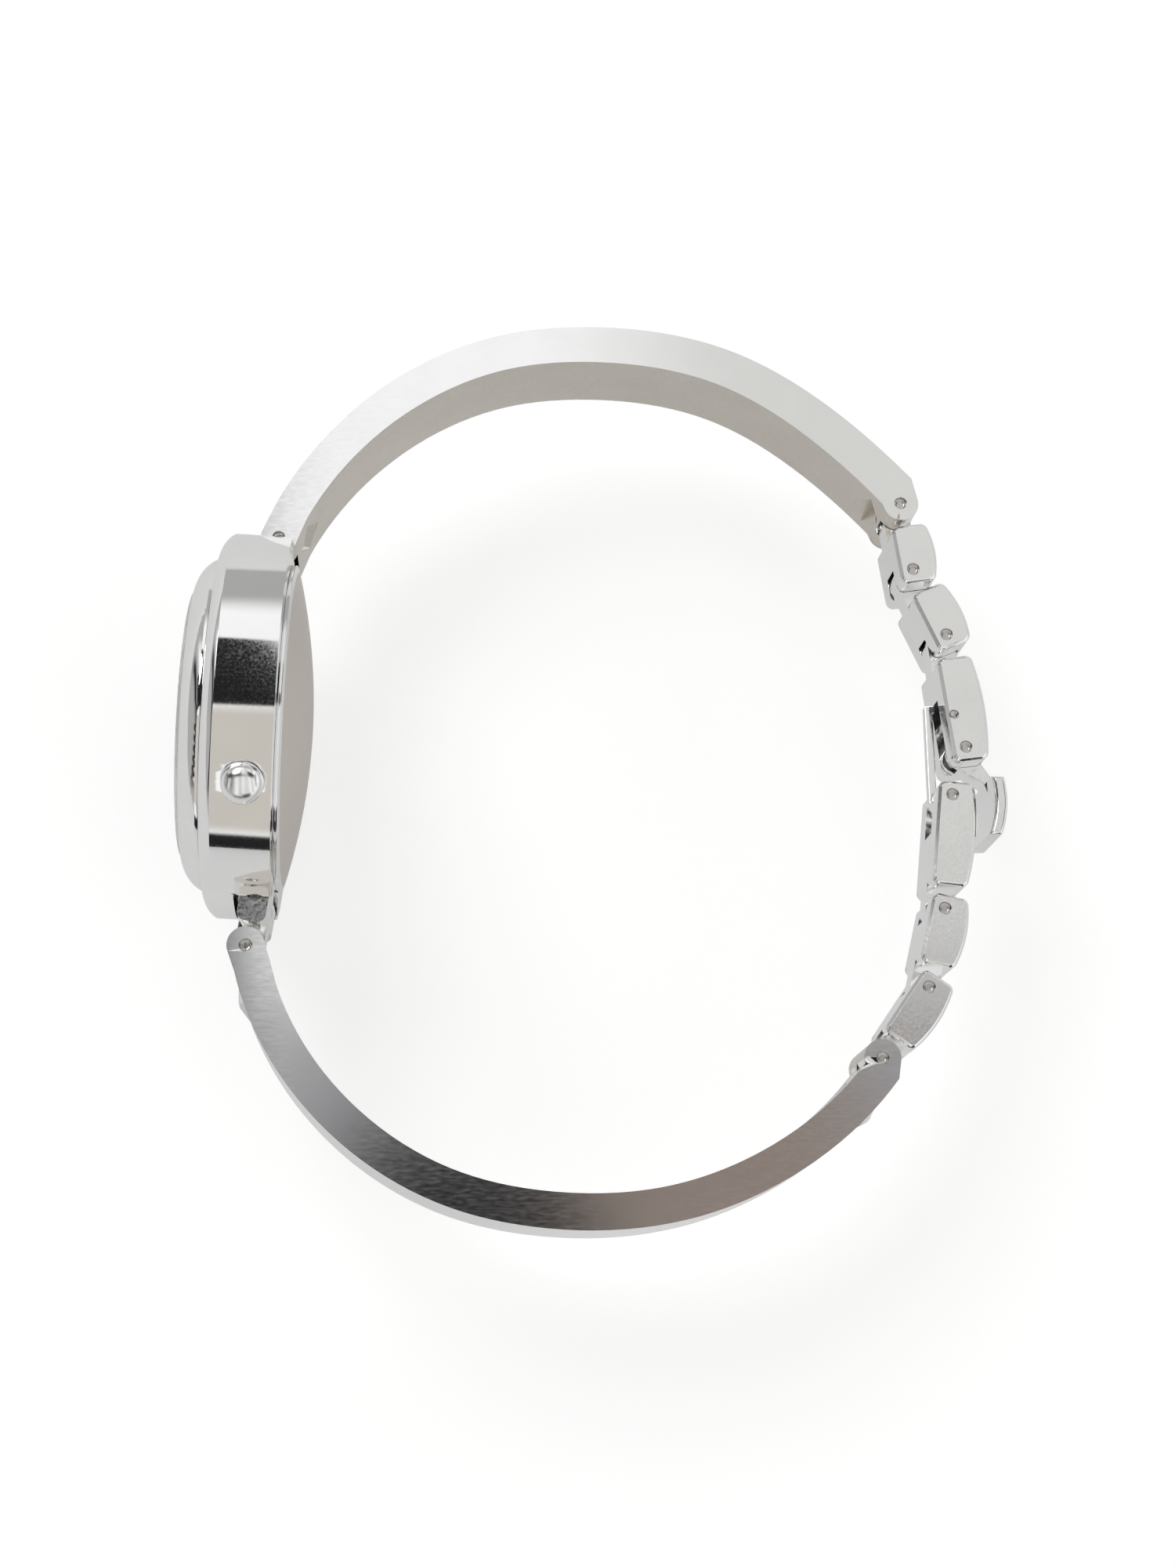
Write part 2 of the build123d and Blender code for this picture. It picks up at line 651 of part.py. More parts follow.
def mesh_turn(teeth, next_teeth, at_deg):
    """Turn of the next wheel that puts its gap on a tooth of the wheel it meshes with."""
    phase = teeth * at_deg + next_teeth * (at_deg + 180) - 180
    return (phase % 360) / next_teeth


def make_minute_wheel():
    """Wheel and pinion on one arbor: pinion to wheel 3 to 1, then 4 to 1, makes 12 to 1."""
    bore = CENTRE_POST_RADIUS + ARBOR_FIT
    wheel_turn = mesh_turn(PINION_TEETH, MINUTE_WHEEL_TEETH, MINUTE_WHEEL_AT_DEG)
    small_turn = mesh_turn(HOUR_WHEEL_TEETH, MINUTE_PINION_TEETH, MINUTE_WHEEL_AT_DEG)
    wheel = Rot(0, 0, wheel_turn) * gear(MINUTE_WHEEL_TEETH, GEAR_THICKNESS, bore)
    wheel = Pos(0, 0, cannon_wheel_low) * wheel
    small = Pos(0, 0, hour_wheel_low - GEAR_CLEARANCE) * Rot(0, 0, small_turn) * gear(
        MINUTE_PINION_TEETH, GEAR_THICKNESS + GEAR_CLEARANCE, bore
    )
    spacer = ring(bore + GEAR_MODULE, bore, cannon_wheel_low, hour_wheel_low)
    return minute_wheel_place() * (wheel + spacer + small)


def screw_spots():
    return [Rot(0, 0, angle) * Pos(SCREW_RING_RADIUS, 0, 0) for angle in SCREWS_AT_DEG]


def battery_spot():
    return Rot(0, 0, BATTERY_AT_DEG) * Pos(BATTERY_OFFSET, 0, 0)


def make_main_plate():
    """Main plate under the dial, with posts for the hand works and a recess for the wheels."""
    body = disc(MOVEMENT_RADIUS, wheel_floor - PLATE_THICKNESS, dial_low)
    recess = GEAR_MODULE * (HOUR_WHEEL_TEETH + GEAR_ROOM_TEETH) / 2
    body -= disc(recess, wheel_floor, dial_low)
    wheel_room = GEAR_MODULE * (MINUTE_WHEEL_TEETH + GEAR_ROOM_TEETH) / 2
    body -= minute_wheel_place() * disc(wheel_room, wheel_floor, dial_low)
    body += disc(CENTRE_POST_RADIUS, wheel_floor - PLATE_THICKNESS, minute_hand_low - HAND_GAP * 2)
    body += minute_wheel_place() * disc(CENTRE_POST_RADIUS, wheel_floor, hour_wheel_low + GEAR_THICKNESS)
    body -= stem_room()
    for spot in screw_spots():
        body -= spot * disc(SCREW_SHANK_RADIUS + PIN_FIT, movement_low - OVERRUN, dial_low)
    return body


def stem_room():
    length = CASE_BORE_RADIUS - STEM_REACH + CROWN_PULL
    slot = Cylinder(STEM_RADIUS + RUNNING_FIT * 2, length + STEM_ROOM_OVERLAP)
    slot = Pos(0, 0, length / 2 - CROWN_PULL) * slot
    yoke = Pos(0, 0, STEM_GROOVE_FROM_TIP + CROWN_PULL / 2) * Box(
        YOKE_ROOM_SHARE * STEM_RADIUS, YOKE_ROOM_SHARE * STEM_RADIUS, STEM_GROOVE_WIDTH * 2 + CROWN_PULL
    )
    return along_stem(slot + yoke, STEM_REACH)


def make_train_bridge():
    """Bridge over the train, cut away for the battery, coil, rotor and stem."""
    body = disc(MOVEMENT_RADIUS, movement_low, wheel_floor - PLATE_THICKNESS)
    body -= battery_spot() * disc(BATTERY_RADIUS + HOLDER_FIT, movement_low - OVERRUN, OVERRUN)
    room = COIL_RADIUS + HOLDER_FIT
    body -= Pos(COIL_X, COIL_Y, 0) * Box(2 * room, COIL_LENGTH + 2 * HOLDER_FIT, 2 * OVERRUN)
    body -= Pos(ROTOR_X, ROTOR_Y, 0) * Cylinder(ROTOR_RADIUS + HOLDER_FIT, 2 * OVERRUN)
    body -= stem_room()
    for spot in screw_spots():
        body -= spot * disc(SCREW_SHANK_RADIUS + PIN_FIT, movement_low - OVERRUN, dial_low)
    return body


def make_holder():
    """Plastic ring that centres the movement in the case."""
    low = BACK_SKIRT + SEAL_GAP
    body = ring(CASE_BORE_RADIUS - HOLDER_FIT, MOVEMENT_RADIUS + HOLDER_FIT, low, dial_low)
    return body - along_stem(Cylinder(TUBE_RADIUS + HOLDER_FIT, 4 * OVERRUN), CASE_RADIUS)


def make_battery():
    low = movement_low
    return battery_spot() * disc(BATTERY_RADIUS, low, low + BATTERY_HEIGHT)


def make_battery_strap():
    """Spring strap across the battery, held by its screw end."""
    high = movement_low - GEAR_CLEARANCE
    body = Pos(0, 0, high - STRAP_THICKNESS / 2) * Box(
        2 * BATTERY_RADIUS + STRAP_WIDTH, STRAP_WIDTH, STRAP_THICKNESS
    )
    return battery_spot() * Rot(0, 0, STRAP_TURN_DEG) * body


def make_coil():
    """Wound coil between two end flanges on its core."""
    height = movement_low + COIL_RADIUS + HOLDER_FIT
    body = Rot(90, 0, 0) * Cylinder(COIL_RADIUS - COIL_WINDING_STEP, COIL_LENGTH - 2 * COIL_END)
    for side in (-1, 1):
        flange = Box(2 * COIL_RADIUS, COIL_END, 2 * COIL_RADIUS)
        body += Pos(0, side * (COIL_LENGTH - COIL_END) / 2, 0) * flange
    return Pos(COIL_X, COIL_Y, height) * body


def make_rotor():
    low = movement_low + HOLDER_FIT
    high = wheel_floor - PLATE_THICKNESS - GEAR_CLEARANCE
    return Pos(ROTOR_X, ROTOR_Y, 0) * disc(ROTOR_RADIUS, low, high)


def make_screws():
    high = movement_low
    group = []
    for spot in screw_spots():
        head = disc(SCREW_HEAD_RADIUS, high - SCREW_HEAD_HEIGHT, high)
        slot = Pos(0, 0, high - SCREW_HEAD_HEIGHT) * Box(
            2 * SCREW_HEAD_RADIUS, SCREW_SLOT, SCREW_HEAD_HEIGHT
        )
        shank = disc(SCREW_SHANK_RADIUS, high, wheel_floor - PLATE_THICKNESS / 2)
        group.append(spot * (head - slot + shank))
    return group


def make_lever():
    """Outer clasp plate: an eye on link C, a neck through its fork, a curved plate and a lip."""
    eye = Cylinder(EYE_RADIUS, TONGUE_WIDTH)
    inner = LEVER_STAND_OFF
    outer = inner + LEVER_THICKNESS
    end = LEVER_LENGTH
    middle = -end * LEVER_BULGE_SHARE
    swell = LEVER_NUB_RADIUS / 2
    outer_end = (outer - LEVER_NUB_RADIUS, -end)
    inner_end = (inner - LEVER_NUB_RADIUS, -end)
    plate_line = Curve() + [
        Line((inner, -LEVER_START), (outer, -LEVER_START)),
        ThreePointArc((outer, -LEVER_START), (outer + swell, middle), outer_end),
        Line(outer_end, inner_end),
        ThreePointArc(inner_end, (inner + swell, middle), (inner, -LEVER_START)),
    ]
    plate = slab(make_face(plate_line), BRACELET_WIDTH)
    rims = plate.faces().filter_by(Axis.Z).edges()
    plate = chamfer(rims, LEVER_THICKNESS * LEVER_EDGE_SHARE)
    neck_run = make_face(Polyline(
        (-EYE_RADIUS * LEVER_HEEL_SHARE, -EYE_RADIUS * LEVER_HEEL_DROP_SHARE),
        (EYE_RADIUS, 0),
        (inner + LEVER_THICKNESS * LEVER_ROOT_SHARE, -LEVER_START),
        (inner + LEVER_THICKNESS * LEVER_ROOT_SHARE, -LEVER_START - LEVER_THICKNESS),
        (inner + LEVER_THICKNESS * LEVER_ROOT_LOW_SHARE, -LEVER_START - LEVER_THICKNESS),
        (inner - LEVER_THICKNESS * LEVER_ROOT_LOW_SHARE, -LEVER_START),
        close=True,
    ))
    tip_way = BLADE_TIP_WIDTH + 2 * SIDE_FIT
    ears = eye + slab(neck_run, TONGUE_WIDTH)
    ears -= Cylinder(EYE_RADIUS + RUNNING_FIT, tip_way)
    ears -= Pos(-EYE_RADIUS, 0, 0) * Box(2 * EYE_RADIUS, 2 * EYE_RADIUS + 2 * RUNNING_FIT, tip_way)
    body = plate + ears
    body -= Cylinder(PIN_DIAMETER / 2 + RUNNING_FIT, BRACELET_WIDTH)
    return place(*lever_pin) * body


def make_blade():
    """Inner clasp plate: an eye on link D and a strip whose catch stops just short of link C's bar."""
    bar = (BAR_X - BLADE_X, BAR_Y - BLADE_Y)
    eye = Cylinder(EYE_RADIUS, BLADE_WIDTH)
    inner = -BLADE_STAND_OFF - BLADE_THICKNESS / 2
    outer = inner + BLADE_THICKNESS
    hook = BAR_DIAMETER / 2 + HOOK_GAP
    top = bar[1] + hook
    strip = make_face(Polyline((inner, 0), (outer, 0), (outer, top), (inner, top), close=True))
    foot_high = EYE_RADIUS * BLADE_FOOT_SHARE
    foot = make_face(Polyline((0, -EYE_RADIUS), (inner, 0), (outer, foot_high), (0, EYE_RADIUS), close=True))
    short = bar[0] - hook
    catch_top = top + BLADE_THICKNESS
    catch = make_face(Polyline((inner, top), (short, top), (short, catch_top), (inner, catch_top), close=True))
    body = slab(strip, BLADE_TIP_WIDTH) + slab(foot, BLADE_WIDTH) + slab(catch, BLADE_TIP_WIDTH) + eye
    body -= Cylinder(PIN_DIAMETER / 2 + RUNNING_FIT, BRACELET_WIDTH)
    return place(*blade_pin) * body


def make_end_link():
    """Short link between the lower lug of the case and the lower arm."""
    length = pitch(lower_lug, lower_arm_pin)
    cheek = make_face(Polyline(
        (-EYE_RADIUS, -EYE_RADIUS),
        (length - LINK_SHOULDER, -EYE_RADIUS),
        (length - LINK_SHOULDER, EYE_RADIUS),
        (-EYE_RADIUS, EYE_RADIUS),
        close=True,
    ))
    cheek = fillet(cheek.vertices(), LINK_CORNER)
    body = slab(cheek, ARM_WIDTH_AT_CASE)
    tongue_run = Pos(length / 2, 0, 0) * Box(length, 2 * EYE_RADIUS, LUG_WIDTH)
    tongue_run = tongue_run - Pos(-length / 2, 0, 0) * Box(length, length, length)
    body = body + tongue_run + Pos(length, 0, 0) * Cylinder(EYE_RADIUS, LUG_WIDTH)
    body -= Pos(length, 0, 0) * Cylinder(PIN_DIAMETER / 2 + RUNNING_FIT, OVERRUN)
    body = link_frame(lower_lug, lower_arm_pin) * body
    turn = direction_deg(lower_lug, seam)
    body = cut_slot(body, *lower_lug, LUG_WIDTH + 2 * SIDE_FIT, EYE_RADIUS + RUNNING_FIT, turn)
    return body - rod(*lower_lug, PIN_DIAMETER / 2 + PIN_FIT, ARM_WIDTH_AT_CASE + OVERRUN)


def add(name, body):
    pieces[name] = body


# Arms and bracelet
upper_arm = make_arm(
    UPPER_INNER_SHARES, upper_lug, upper_tip,
    direction_deg(upper_lug, seam), direction_deg(upper_tip, link_ab), UPPER_TIP_THICKNESS,
)
add("upper_arm", upper_arm)
lower_arm = make_arm(
    LOWER_INNER_SHARES, lower_arm_pin, lower_tip,
    direction_deg(lower_arm_pin, lower_lug), direction_deg(lower_tip, link_ef), ARM_THICKNESS,
)
add("lower_arm", lower_arm)

chain = (
    ("link_a", link_ab, upper_tip, link_bc, -1),
    ("link_b", link_bc, link_ab, lever_pin, -1),
    ("link_c", lever_pin, link_bc, blade_pin, -1),
    ("link_d", blade_pin, link_de, lever_pin, 1),
    ("link_e", link_de, link_ef, blade_pin, 1),
    ("link_f", link_ef, lower_tip, link_de, 1),
)
for name, fork, tongue, beyond, outside in chain:
    body = link_body(fork, tongue, outside)
    body = finish_fork(body, fork, direction_deg(fork, beyond))
    add(name, body)

add("clasp_lever", make_lever())
add("clasp_blade", make_blade())
for turn in LEVER_FORK_TURNS_DEG:
    pieces["link_c"] = finish_fork(pieces["link_c"], lever_pin, turn)
for turn in BLADE_FORK_TURNS_DEG:
    pieces["link_d"] = finish_fork(pieces["link_d"], blade_pin, turn)
hook_room = BAR_DIAMETER / 2 + HOOK_GAP + BLADE_THICKNESS + TIP_FIT
pocket = Box(OVERRUN, 2 * hook_room, TONGUE_WIDTH + 2 * SIDE_FIT)
pieces["link_c"] -= Pos(BAR_X + hook_room - BLADE_THICKNESS - OVERRUN / 2, BAR_Y, 0) * pocket
pieces["link_c"] -= rod(BAR_X, BAR_Y, BAR_DIAMETER / 2 + PIN_FIT, BRACELET_WIDTH)
add("clasp_bar", rod(BAR_X, BAR_Y, BAR_DIAMETER / 2, BRACELET_WIDTH - 2 * LINK_EDGE_BREAK))

pins = (
    ("upper_arm_tip_pin", upper_tip),
    ("link_a_pin", link_ab),
    ("link_b_pin", link_bc),
    ("lever_pin", lever_pin),
    ("blade_pin", blade_pin),
    ("link_e_pin", link_de),
    ("link_f_pin", link_ef),
    ("lower_arm_tip_pin", lower_tip),
)
for name, spot in pins:
    add(name, pin(*spot, BRACELET_WIDTH - 2 * LINK_EDGE_BREAK))

# Case, from the back to the crystal
add("case_middle", on_case(make_case_middle()))
add("bezel", on_case(make_bezel()))
add("crystal", on_case(make_crystal()))
gasket_outer = CRYSTAL_RADIUS + GASKET_WALL - PIN_FIT
crystal_gasket = ring(gasket_outer, CRYSTAL_RADIUS + PIN_FIT, crystal_low, bezel_top)
add("crystal_gasket", on_case(crystal_gasket))
add("case_back", on_case(make_case_back()))
add("dial", on_case(make_dial()))
add("movement_holder", on_case(make_holder()))
add("main_plate", on_case(make_main_plate()))
add("train_bridge", on_case(make_train_bridge()))
add("battery", on_case(make_battery()))
add("battery_strap", on_case(make_battery_strap()))
add("coil", on_case(make_coil()))
add("step_rotor", on_case(make_rotor()))
add("movement_screws", [on_case(screw) for screw in make_screws()])
add("cannon_pinion", on_case(make_cannon_pinion()))
add("minute_wheel", on_case(make_minute_wheel()))
add("hour_wheel", on_case(make_hour_wheel()))
hour_hand = make_hand(HOUR_HAND_LENGTH, HAND_WIDTH, hour_hand_low, HOUR_PIPE_RADIUS + PIN_FIT)
add("hour_hand", on_case(Rot(0, 0, -HANDS_HOUR_DEG) * hour_hand))
minute_hand = make_hand(MINUTE_HAND_LENGTH, HAND_WIDTH, minute_hand_low, CANNON_RADIUS + PIN_FIT)
add("minute_hand", on_case(Rot(0, 0, -HANDS_MINUTE_DEG) * minute_hand))
add("crown", on_case(make_crown()))
add("winding_stem", on_case(make_stem()))
add("setting_lever", on_case(make_setting_lever()))
add("crown_tube", on_case(make_crown_tube()))
add("crown_gasket", on_case(make_crown_gasket()))
lug_pin_length = ARM_WIDTH_AT_CASE - 2 * LUG_PIN_INSET
add("upper_spring_bar", pin(*upper_lug, lug_pin_length))
add("lower_end_link", make_end_link())
add("lower_spring_bar", pin(*lower_lug, lug_pin_length))
add("lower_arm_pin", pin(*lower_arm_pin, lug_pin_length))

# Stand the part on its lowest point, centred over the origin
solids = []
for body in pieces.values():
    solids += body if isinstance(body, list) else [body]
box = Compound(children=[Compound(item.solids()) for item in solids]).bounding_box()
shift = Pos(-(box.min.X + box.max.X) / 2, -(box.min.Y + box.max.Y) / 2, -box.min.Z)
for name, body in pieces.items():
    if isinstance(body, list):
        moved = Compound([solid for item in body for solid in (shift * item).solids()])
    else:
        moved = shift * body
    export_step(moved, "parts/" + name + ".step")

print("box", box.size)
for name, spot in pins + (
    ("upper_spring_bar", upper_lug), ("lower_spring_bar", lower_lug), ("lower_arm_pin", lower_arm_pin)
):
    centre = shift * Vertex(spot[0], spot[1], 0)
    print(name, "at", [round(value, 4) for value in centre.center()])
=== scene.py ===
import json
import math
import bmesh
import bpy
from bpy.props import FloatProperty, FloatVectorProperty, PointerProperty
from mathutils import Matrix, Vector

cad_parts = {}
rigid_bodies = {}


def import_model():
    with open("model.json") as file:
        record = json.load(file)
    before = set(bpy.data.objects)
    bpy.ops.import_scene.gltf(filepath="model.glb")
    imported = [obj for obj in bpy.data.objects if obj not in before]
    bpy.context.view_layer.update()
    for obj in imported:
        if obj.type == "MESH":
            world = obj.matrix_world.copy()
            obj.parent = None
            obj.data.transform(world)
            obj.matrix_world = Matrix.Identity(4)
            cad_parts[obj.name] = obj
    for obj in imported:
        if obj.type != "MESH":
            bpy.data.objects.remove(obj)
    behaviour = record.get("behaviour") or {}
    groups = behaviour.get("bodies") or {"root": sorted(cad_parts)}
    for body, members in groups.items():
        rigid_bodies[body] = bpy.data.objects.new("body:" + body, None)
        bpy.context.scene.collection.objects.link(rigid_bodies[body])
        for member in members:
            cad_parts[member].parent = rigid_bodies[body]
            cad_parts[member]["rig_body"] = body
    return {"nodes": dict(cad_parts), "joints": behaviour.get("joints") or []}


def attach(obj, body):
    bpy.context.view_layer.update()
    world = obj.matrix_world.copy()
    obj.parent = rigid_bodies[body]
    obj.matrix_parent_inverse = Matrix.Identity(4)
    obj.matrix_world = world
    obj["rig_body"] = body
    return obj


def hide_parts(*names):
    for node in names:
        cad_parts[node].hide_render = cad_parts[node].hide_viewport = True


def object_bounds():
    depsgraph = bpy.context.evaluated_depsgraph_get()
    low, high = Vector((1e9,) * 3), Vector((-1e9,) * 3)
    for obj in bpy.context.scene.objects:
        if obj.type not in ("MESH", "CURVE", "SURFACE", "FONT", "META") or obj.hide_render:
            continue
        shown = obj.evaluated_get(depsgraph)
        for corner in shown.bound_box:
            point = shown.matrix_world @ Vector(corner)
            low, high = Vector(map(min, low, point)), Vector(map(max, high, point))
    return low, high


bl_info = {
    "name": "Bangle watch finish",
    "version": (1, 0, 0),
    "blender": (4, 5, 0),
    "location": "3D View > Sidebar > Watch",
    "description": "Polished steel, satin back, dial and studio for a half-bangle wristwatch",
    "category": "Object",
}

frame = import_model()
cad_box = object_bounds()
nodes = frame["nodes"]
joints = {joint["name"]: joint for joint in frame["joints"]}
dial_axis = Vector(joints["minute_turn"]["axis"]).normalized()
dial_centre = Vector(joints["minute_turn"]["pos_m"])
crown_axis = Vector(joints["crown_turn"]["axis"]).normalized()
crown_centre = Vector(joints["crown_turn"]["pos_m"])
twelve = dial_axis.cross(Vector((0, 0, 1))).normalized()
if twelve.y < 0:
    twelve = -twelve

MM = 0.001
# The photograph, in pixels, and what was measured in it
PHOTO_WIDTH_PX = 1500
PHOTO_HEIGHT_PX = 2001
FOCAL_PX = 3370
PLUMB_X_PX = 520
PLUMB_Y_PX = 1837
CAMERA_PLACE = (-13.32 * MM, -46.39 * MM, 197.55 * MM)
SENSOR = 36.0
# How squarely a face of an arm looks into the bangle to count as its lining
INSIDE_SHARE = 0.6
# Case back: radius in millimetres beyond which it is polished, that rim's tone, and the gloss inside
POLISHED_RIM = 11.25
RIM_TONE = (0.86, 0.86, 0.87)
SATIN_GLOSS = 1.15
# Clean-up and shading of the copied CAD meshes
MERGE_DISTANCE = 0.002 * MM
FLAT_DEG = 0.4
SMOOTH_DEG = 32
TURNED_SMOOTH_DEG = 30
EDGE_SEGMENTS = 2
# Minute track on the dial, in millimetres from its centre, and where the raised markers start
TRACK_INNER, TRACK_OUTER = 8.72, 9.02
MINUTES = 60
TICK_HALF_WIDTH = 0.07
RAYS = 260.0
MARKER_BASE = 0.27 * MM
# Crown, as radii and heights in millimetres along the stem from the crown joint's centre
TURNED_SIDES = 64
DOME_RADIUS, DOME_START, DOME_HEIGHT, DOME_STEPS = 1.40, 1.55, 0.89, 10
CROWN_PROFILE = [
    (1.0, 1.65), (1.0, 0.96), (1.36, 0.96), (1.44, 1.04), (1.44, 1.42), (1.40, 1.46), (1.34, 1.50)]
for step in range(DOME_STEPS):
    climb = math.pi / 2 * step / DOME_STEPS
    CROWN_PROFILE.append((DOME_RADIUS * math.cos(climb), DOME_START + DOME_HEIGHT * math.sin(climb)))
CROWN_PROFILE.append((0.03, DOME_START + DOME_HEIGHT))
# Tones of the studio that the polished steel reflects
WHITE = (1.0, 1.0, 1.0)
FLOOR_GLOW = 0.58
FLOOR_MIRRORED_SHARE = 0.38
PALE_GREY = (0.70, 0.70, 0.68)
MID_GREY = (0.42, 0.42, 0.41)
GREY = (0.30, 0.30, 0.31)
BEIGE_GREY = (0.60, 0.57, 0.52)
WARM_GREY = (0.26, 0.21, 0.18)
NEAR_BLACK = (0.015, 0.015, 0.016)
# Bands of the studio: leans from the zenith towards 12 o'clock in degrees, reach across as the
# direction's x, tone, and how far each pair of edges blurs
SKY_BANDS = (
    ((-70, 70), (0.11, 0.42), PALE_GREY, 24, 0.04),
    ((62, 100), (-0.6, 0.6), MID_GREY, 16, 0.1),
    ((-79, -3), (-0.22, -0.02), BEIGE_GREY, 10, 0.02),
    ((-100, 100), (-1.3, -0.45), MID_GREY, 20, 0.12),
    ((-70, 70), (-0.82, -0.76), WHITE, 30, 0.03),
    ((-80, 80), (-0.92, -0.87), NEAR_BLACK, 30, 0.02),
    ((-60, 40), (-0.66, -0.60), NEAR_BLACK, 30, 0.02),
    ((-80, 80), (0.60, 0.68), MID_GREY, 20, 0.03),
    ((-60, 60), (0.84, 0.90), NEAR_BLACK, 20, 0.02),
    ((-2, 38), (-0.85, -0.032), NEAR_BLACK, 2.0, 0.005),
    ((2, 34), (0.38, 0.80), NEAR_BLACK, 6.0, 0.02),
    ((-95, -81), (-0.5, 0.0), NEAR_BLACK, 3, 0.03),
    ((-95, -72), (0.0, 0.45), NEAR_BLACK, 6, 0.04),
    ((2, 9.5), (-0.03, 0.30), GREY, 2.5, 0.03),
)
# Round patches of the studio: direction, tone, and the angles in degrees between which they fade
SKY_PATCHES = (
    ((0.055, 0.065, 1.0), NEAR_BLACK, 2.2, 4.6),
    ((0.15, 0.105, 1.0), WARM_GREY, 1.8, 4.2),
)
FLOOR_SIZE = 3
LAMP_SIZE = 0.35
LAMP_POWER = 1.2
LAMP_PLACE = (-0.28, 0.32, 0.55)
CLIP_START, CLIP_END = 0.01, 10


class WatchSizes(bpy.types.PropertyGroup):
    """Edge breaks of the steel pieces."""
    arm_edge: FloatProperty(
        name="Arm edge", description="Width of the polished break along the arms",
        default=0.2 * MM, unit="LENGTH", subtype="DISTANCE", precision=5)
    link_edge: FloatProperty(
        name="Link edge", description="Width of the small break on links and clasp",
        default=0.06 * MM, unit="LENGTH", subtype="DISTANCE", precision=5)
    case_edge: FloatProperty(
        name="Case edge", description="Width of the break on the case and bezel",
        default=0.3 * MM, unit="LENGTH", subtype="DISTANCE", precision=5)
    pin_edge: FloatProperty(
        name="Pin edge", description="Width of the break on the pins' ends",
        default=0.05 * MM, unit="LENGTH", subtype="DISTANCE", precision=5)


def colour(name, description, default):
    return FloatVectorProperty(
        name=name, description=description, default=default, size=3, subtype="COLOR", min=0, max=1)


class WatchColours(bpy.types.PropertyGroup):
    """Colours of the watch's finishes."""
    steel: colour("Polished steel", "Colour of the polished steel", (0.92, 0.92, 0.92))
    lining: colour("Arm lining", "Colour of the arms' inner faces", (0.70, 0.66, 0.60))
    satin: colour("Satin steel", "Colour of the satin case back", (0.74, 0.69, 0.64))
    pin: colour("Pin steel", "Colour of the hinge pins", (0.62, 0.60, 0.58))
    dial: colour("Dial", "Colour of the dial", (0.84, 0.84, 0.82))
    print_ink: colour("Dial print", "Colour of the minute track", (0.05, 0.05, 0.06))
    hand: colour("Hands", "Colour of the hands", (0.22, 0.23, 0.26))
    rubber: colour("Gaskets", "Colour of the gaskets", (0.03, 0.03, 0.03))
    glass: colour("Crystal", "Colour of the crystal", (0.96, 0.98, 0.98))
    brass: colour("Brass", "Colour of the movement's plates", (0.78, 0.66, 0.42))
    copper: colour("Copper wire", "Colour of the coil", (0.72, 0.36, 0.19))
    plastic: colour("Holder", "Colour of the movement holder", (0.74, 0.73, 0.69))
    floor: colour("Floor", "Colour of the floor", (0.60, 0.60, 0.60))


# Materials


def new_material(name):
    """A named material with its tree and Principled shader."""
    material = bpy.data.materials.new(name)
    material.use_nodes = True
    tree = material.node_tree
    return material, tree, tree.nodes["Principled BSDF"]


def add_node(tree, kind, **settings):
    node = tree.nodes.new("ShaderNode" + kind)
    for key, value in settings.items():
        setattr(node, key, value)
    return node


def math_node(tree, operation, first, second):
    node = add_node(tree, "Math", operation=operation)
    for slot, value in enumerate((first, second)):
        if isinstance(value, (int, float)):
            node.inputs[slot].default_value = value
        else:
            tree.links.new(value, node.inputs[slot])
    return node.outputs[0]


def object_place(tree, stretch=(1, 1, 1), turn=(0, 0, 0)):
    """Object coordinates in millimetres, turned and stretched."""
    place = add_node(tree, "TexCoord")
    mapping = add_node(tree, "Mapping")
    mapping.inputs["Scale"].default_value = [share / MM for share in stretch]
    mapping.inputs["Rotation"].default_value = turn
    tree.links.new(place.outputs["Object"], mapping.inputs["Vector"])
    return mapping.outputs["Vector"]


def noise(tree, vector, scale, detail=2.0):
    texture = add_node(tree, "TexNoise")
    texture.inputs["Scale"].default_value = scale
    texture.inputs["Detail"].default_value = detail
    tree.links.new(vector, texture.inputs["Vector"])
    return texture.outputs["Fac"]


def spread(tree, value, low, high, start=0.3, end=0.7):
    """A texture's value spread between two levels."""
    node = add_node(tree, "MapRange")
    for key, level in (("From Min", start), ("From Max", end), ("To Min", low), ("To Max", high)):
        node.inputs[key].default_value = level
    tree.links.new(value, node.inputs["Value"])
    return node.outputs["Result"]


def two_tone(tree, factor, first, second):
    """A colour between two tones."""
    node = add_node(tree, "Mix", data_type="RGBA")
    node.inputs[6].default_value = (*first, 1)
    node.inputs[7].default_value = (*second, 1)
    tree.links.new(factor, node.inputs[0])
    return node.outputs[2]


def blend_tone(tree, factor, below, tone):
    """A tone laid over a pattern, or over another tone, where the factor says."""
    if isinstance(below, tuple):
        return two_tone(tree, factor, below, tone)
    node = add_node(tree, "Mix", data_type="RGBA")
    tree.links.new(factor, node.inputs[0])
    tree.links.new(below, node.inputs[6])
    node.inputs[7].default_value = (*tone, 1)
    return node.outputs[2]


def darker(tone, share):
    return tuple(part * share for part in tone)


def bump(tree, shader, height, strength, depth):
    node = add_node(tree, "Bump")
    node.inputs["Strength"].default_value = strength
    node.inputs["Distance"].default_value = depth
    tree.links.new(height, node.inputs["Height"])
    tree.links.new(node.outputs["Normal"], shader.inputs["Normal"])


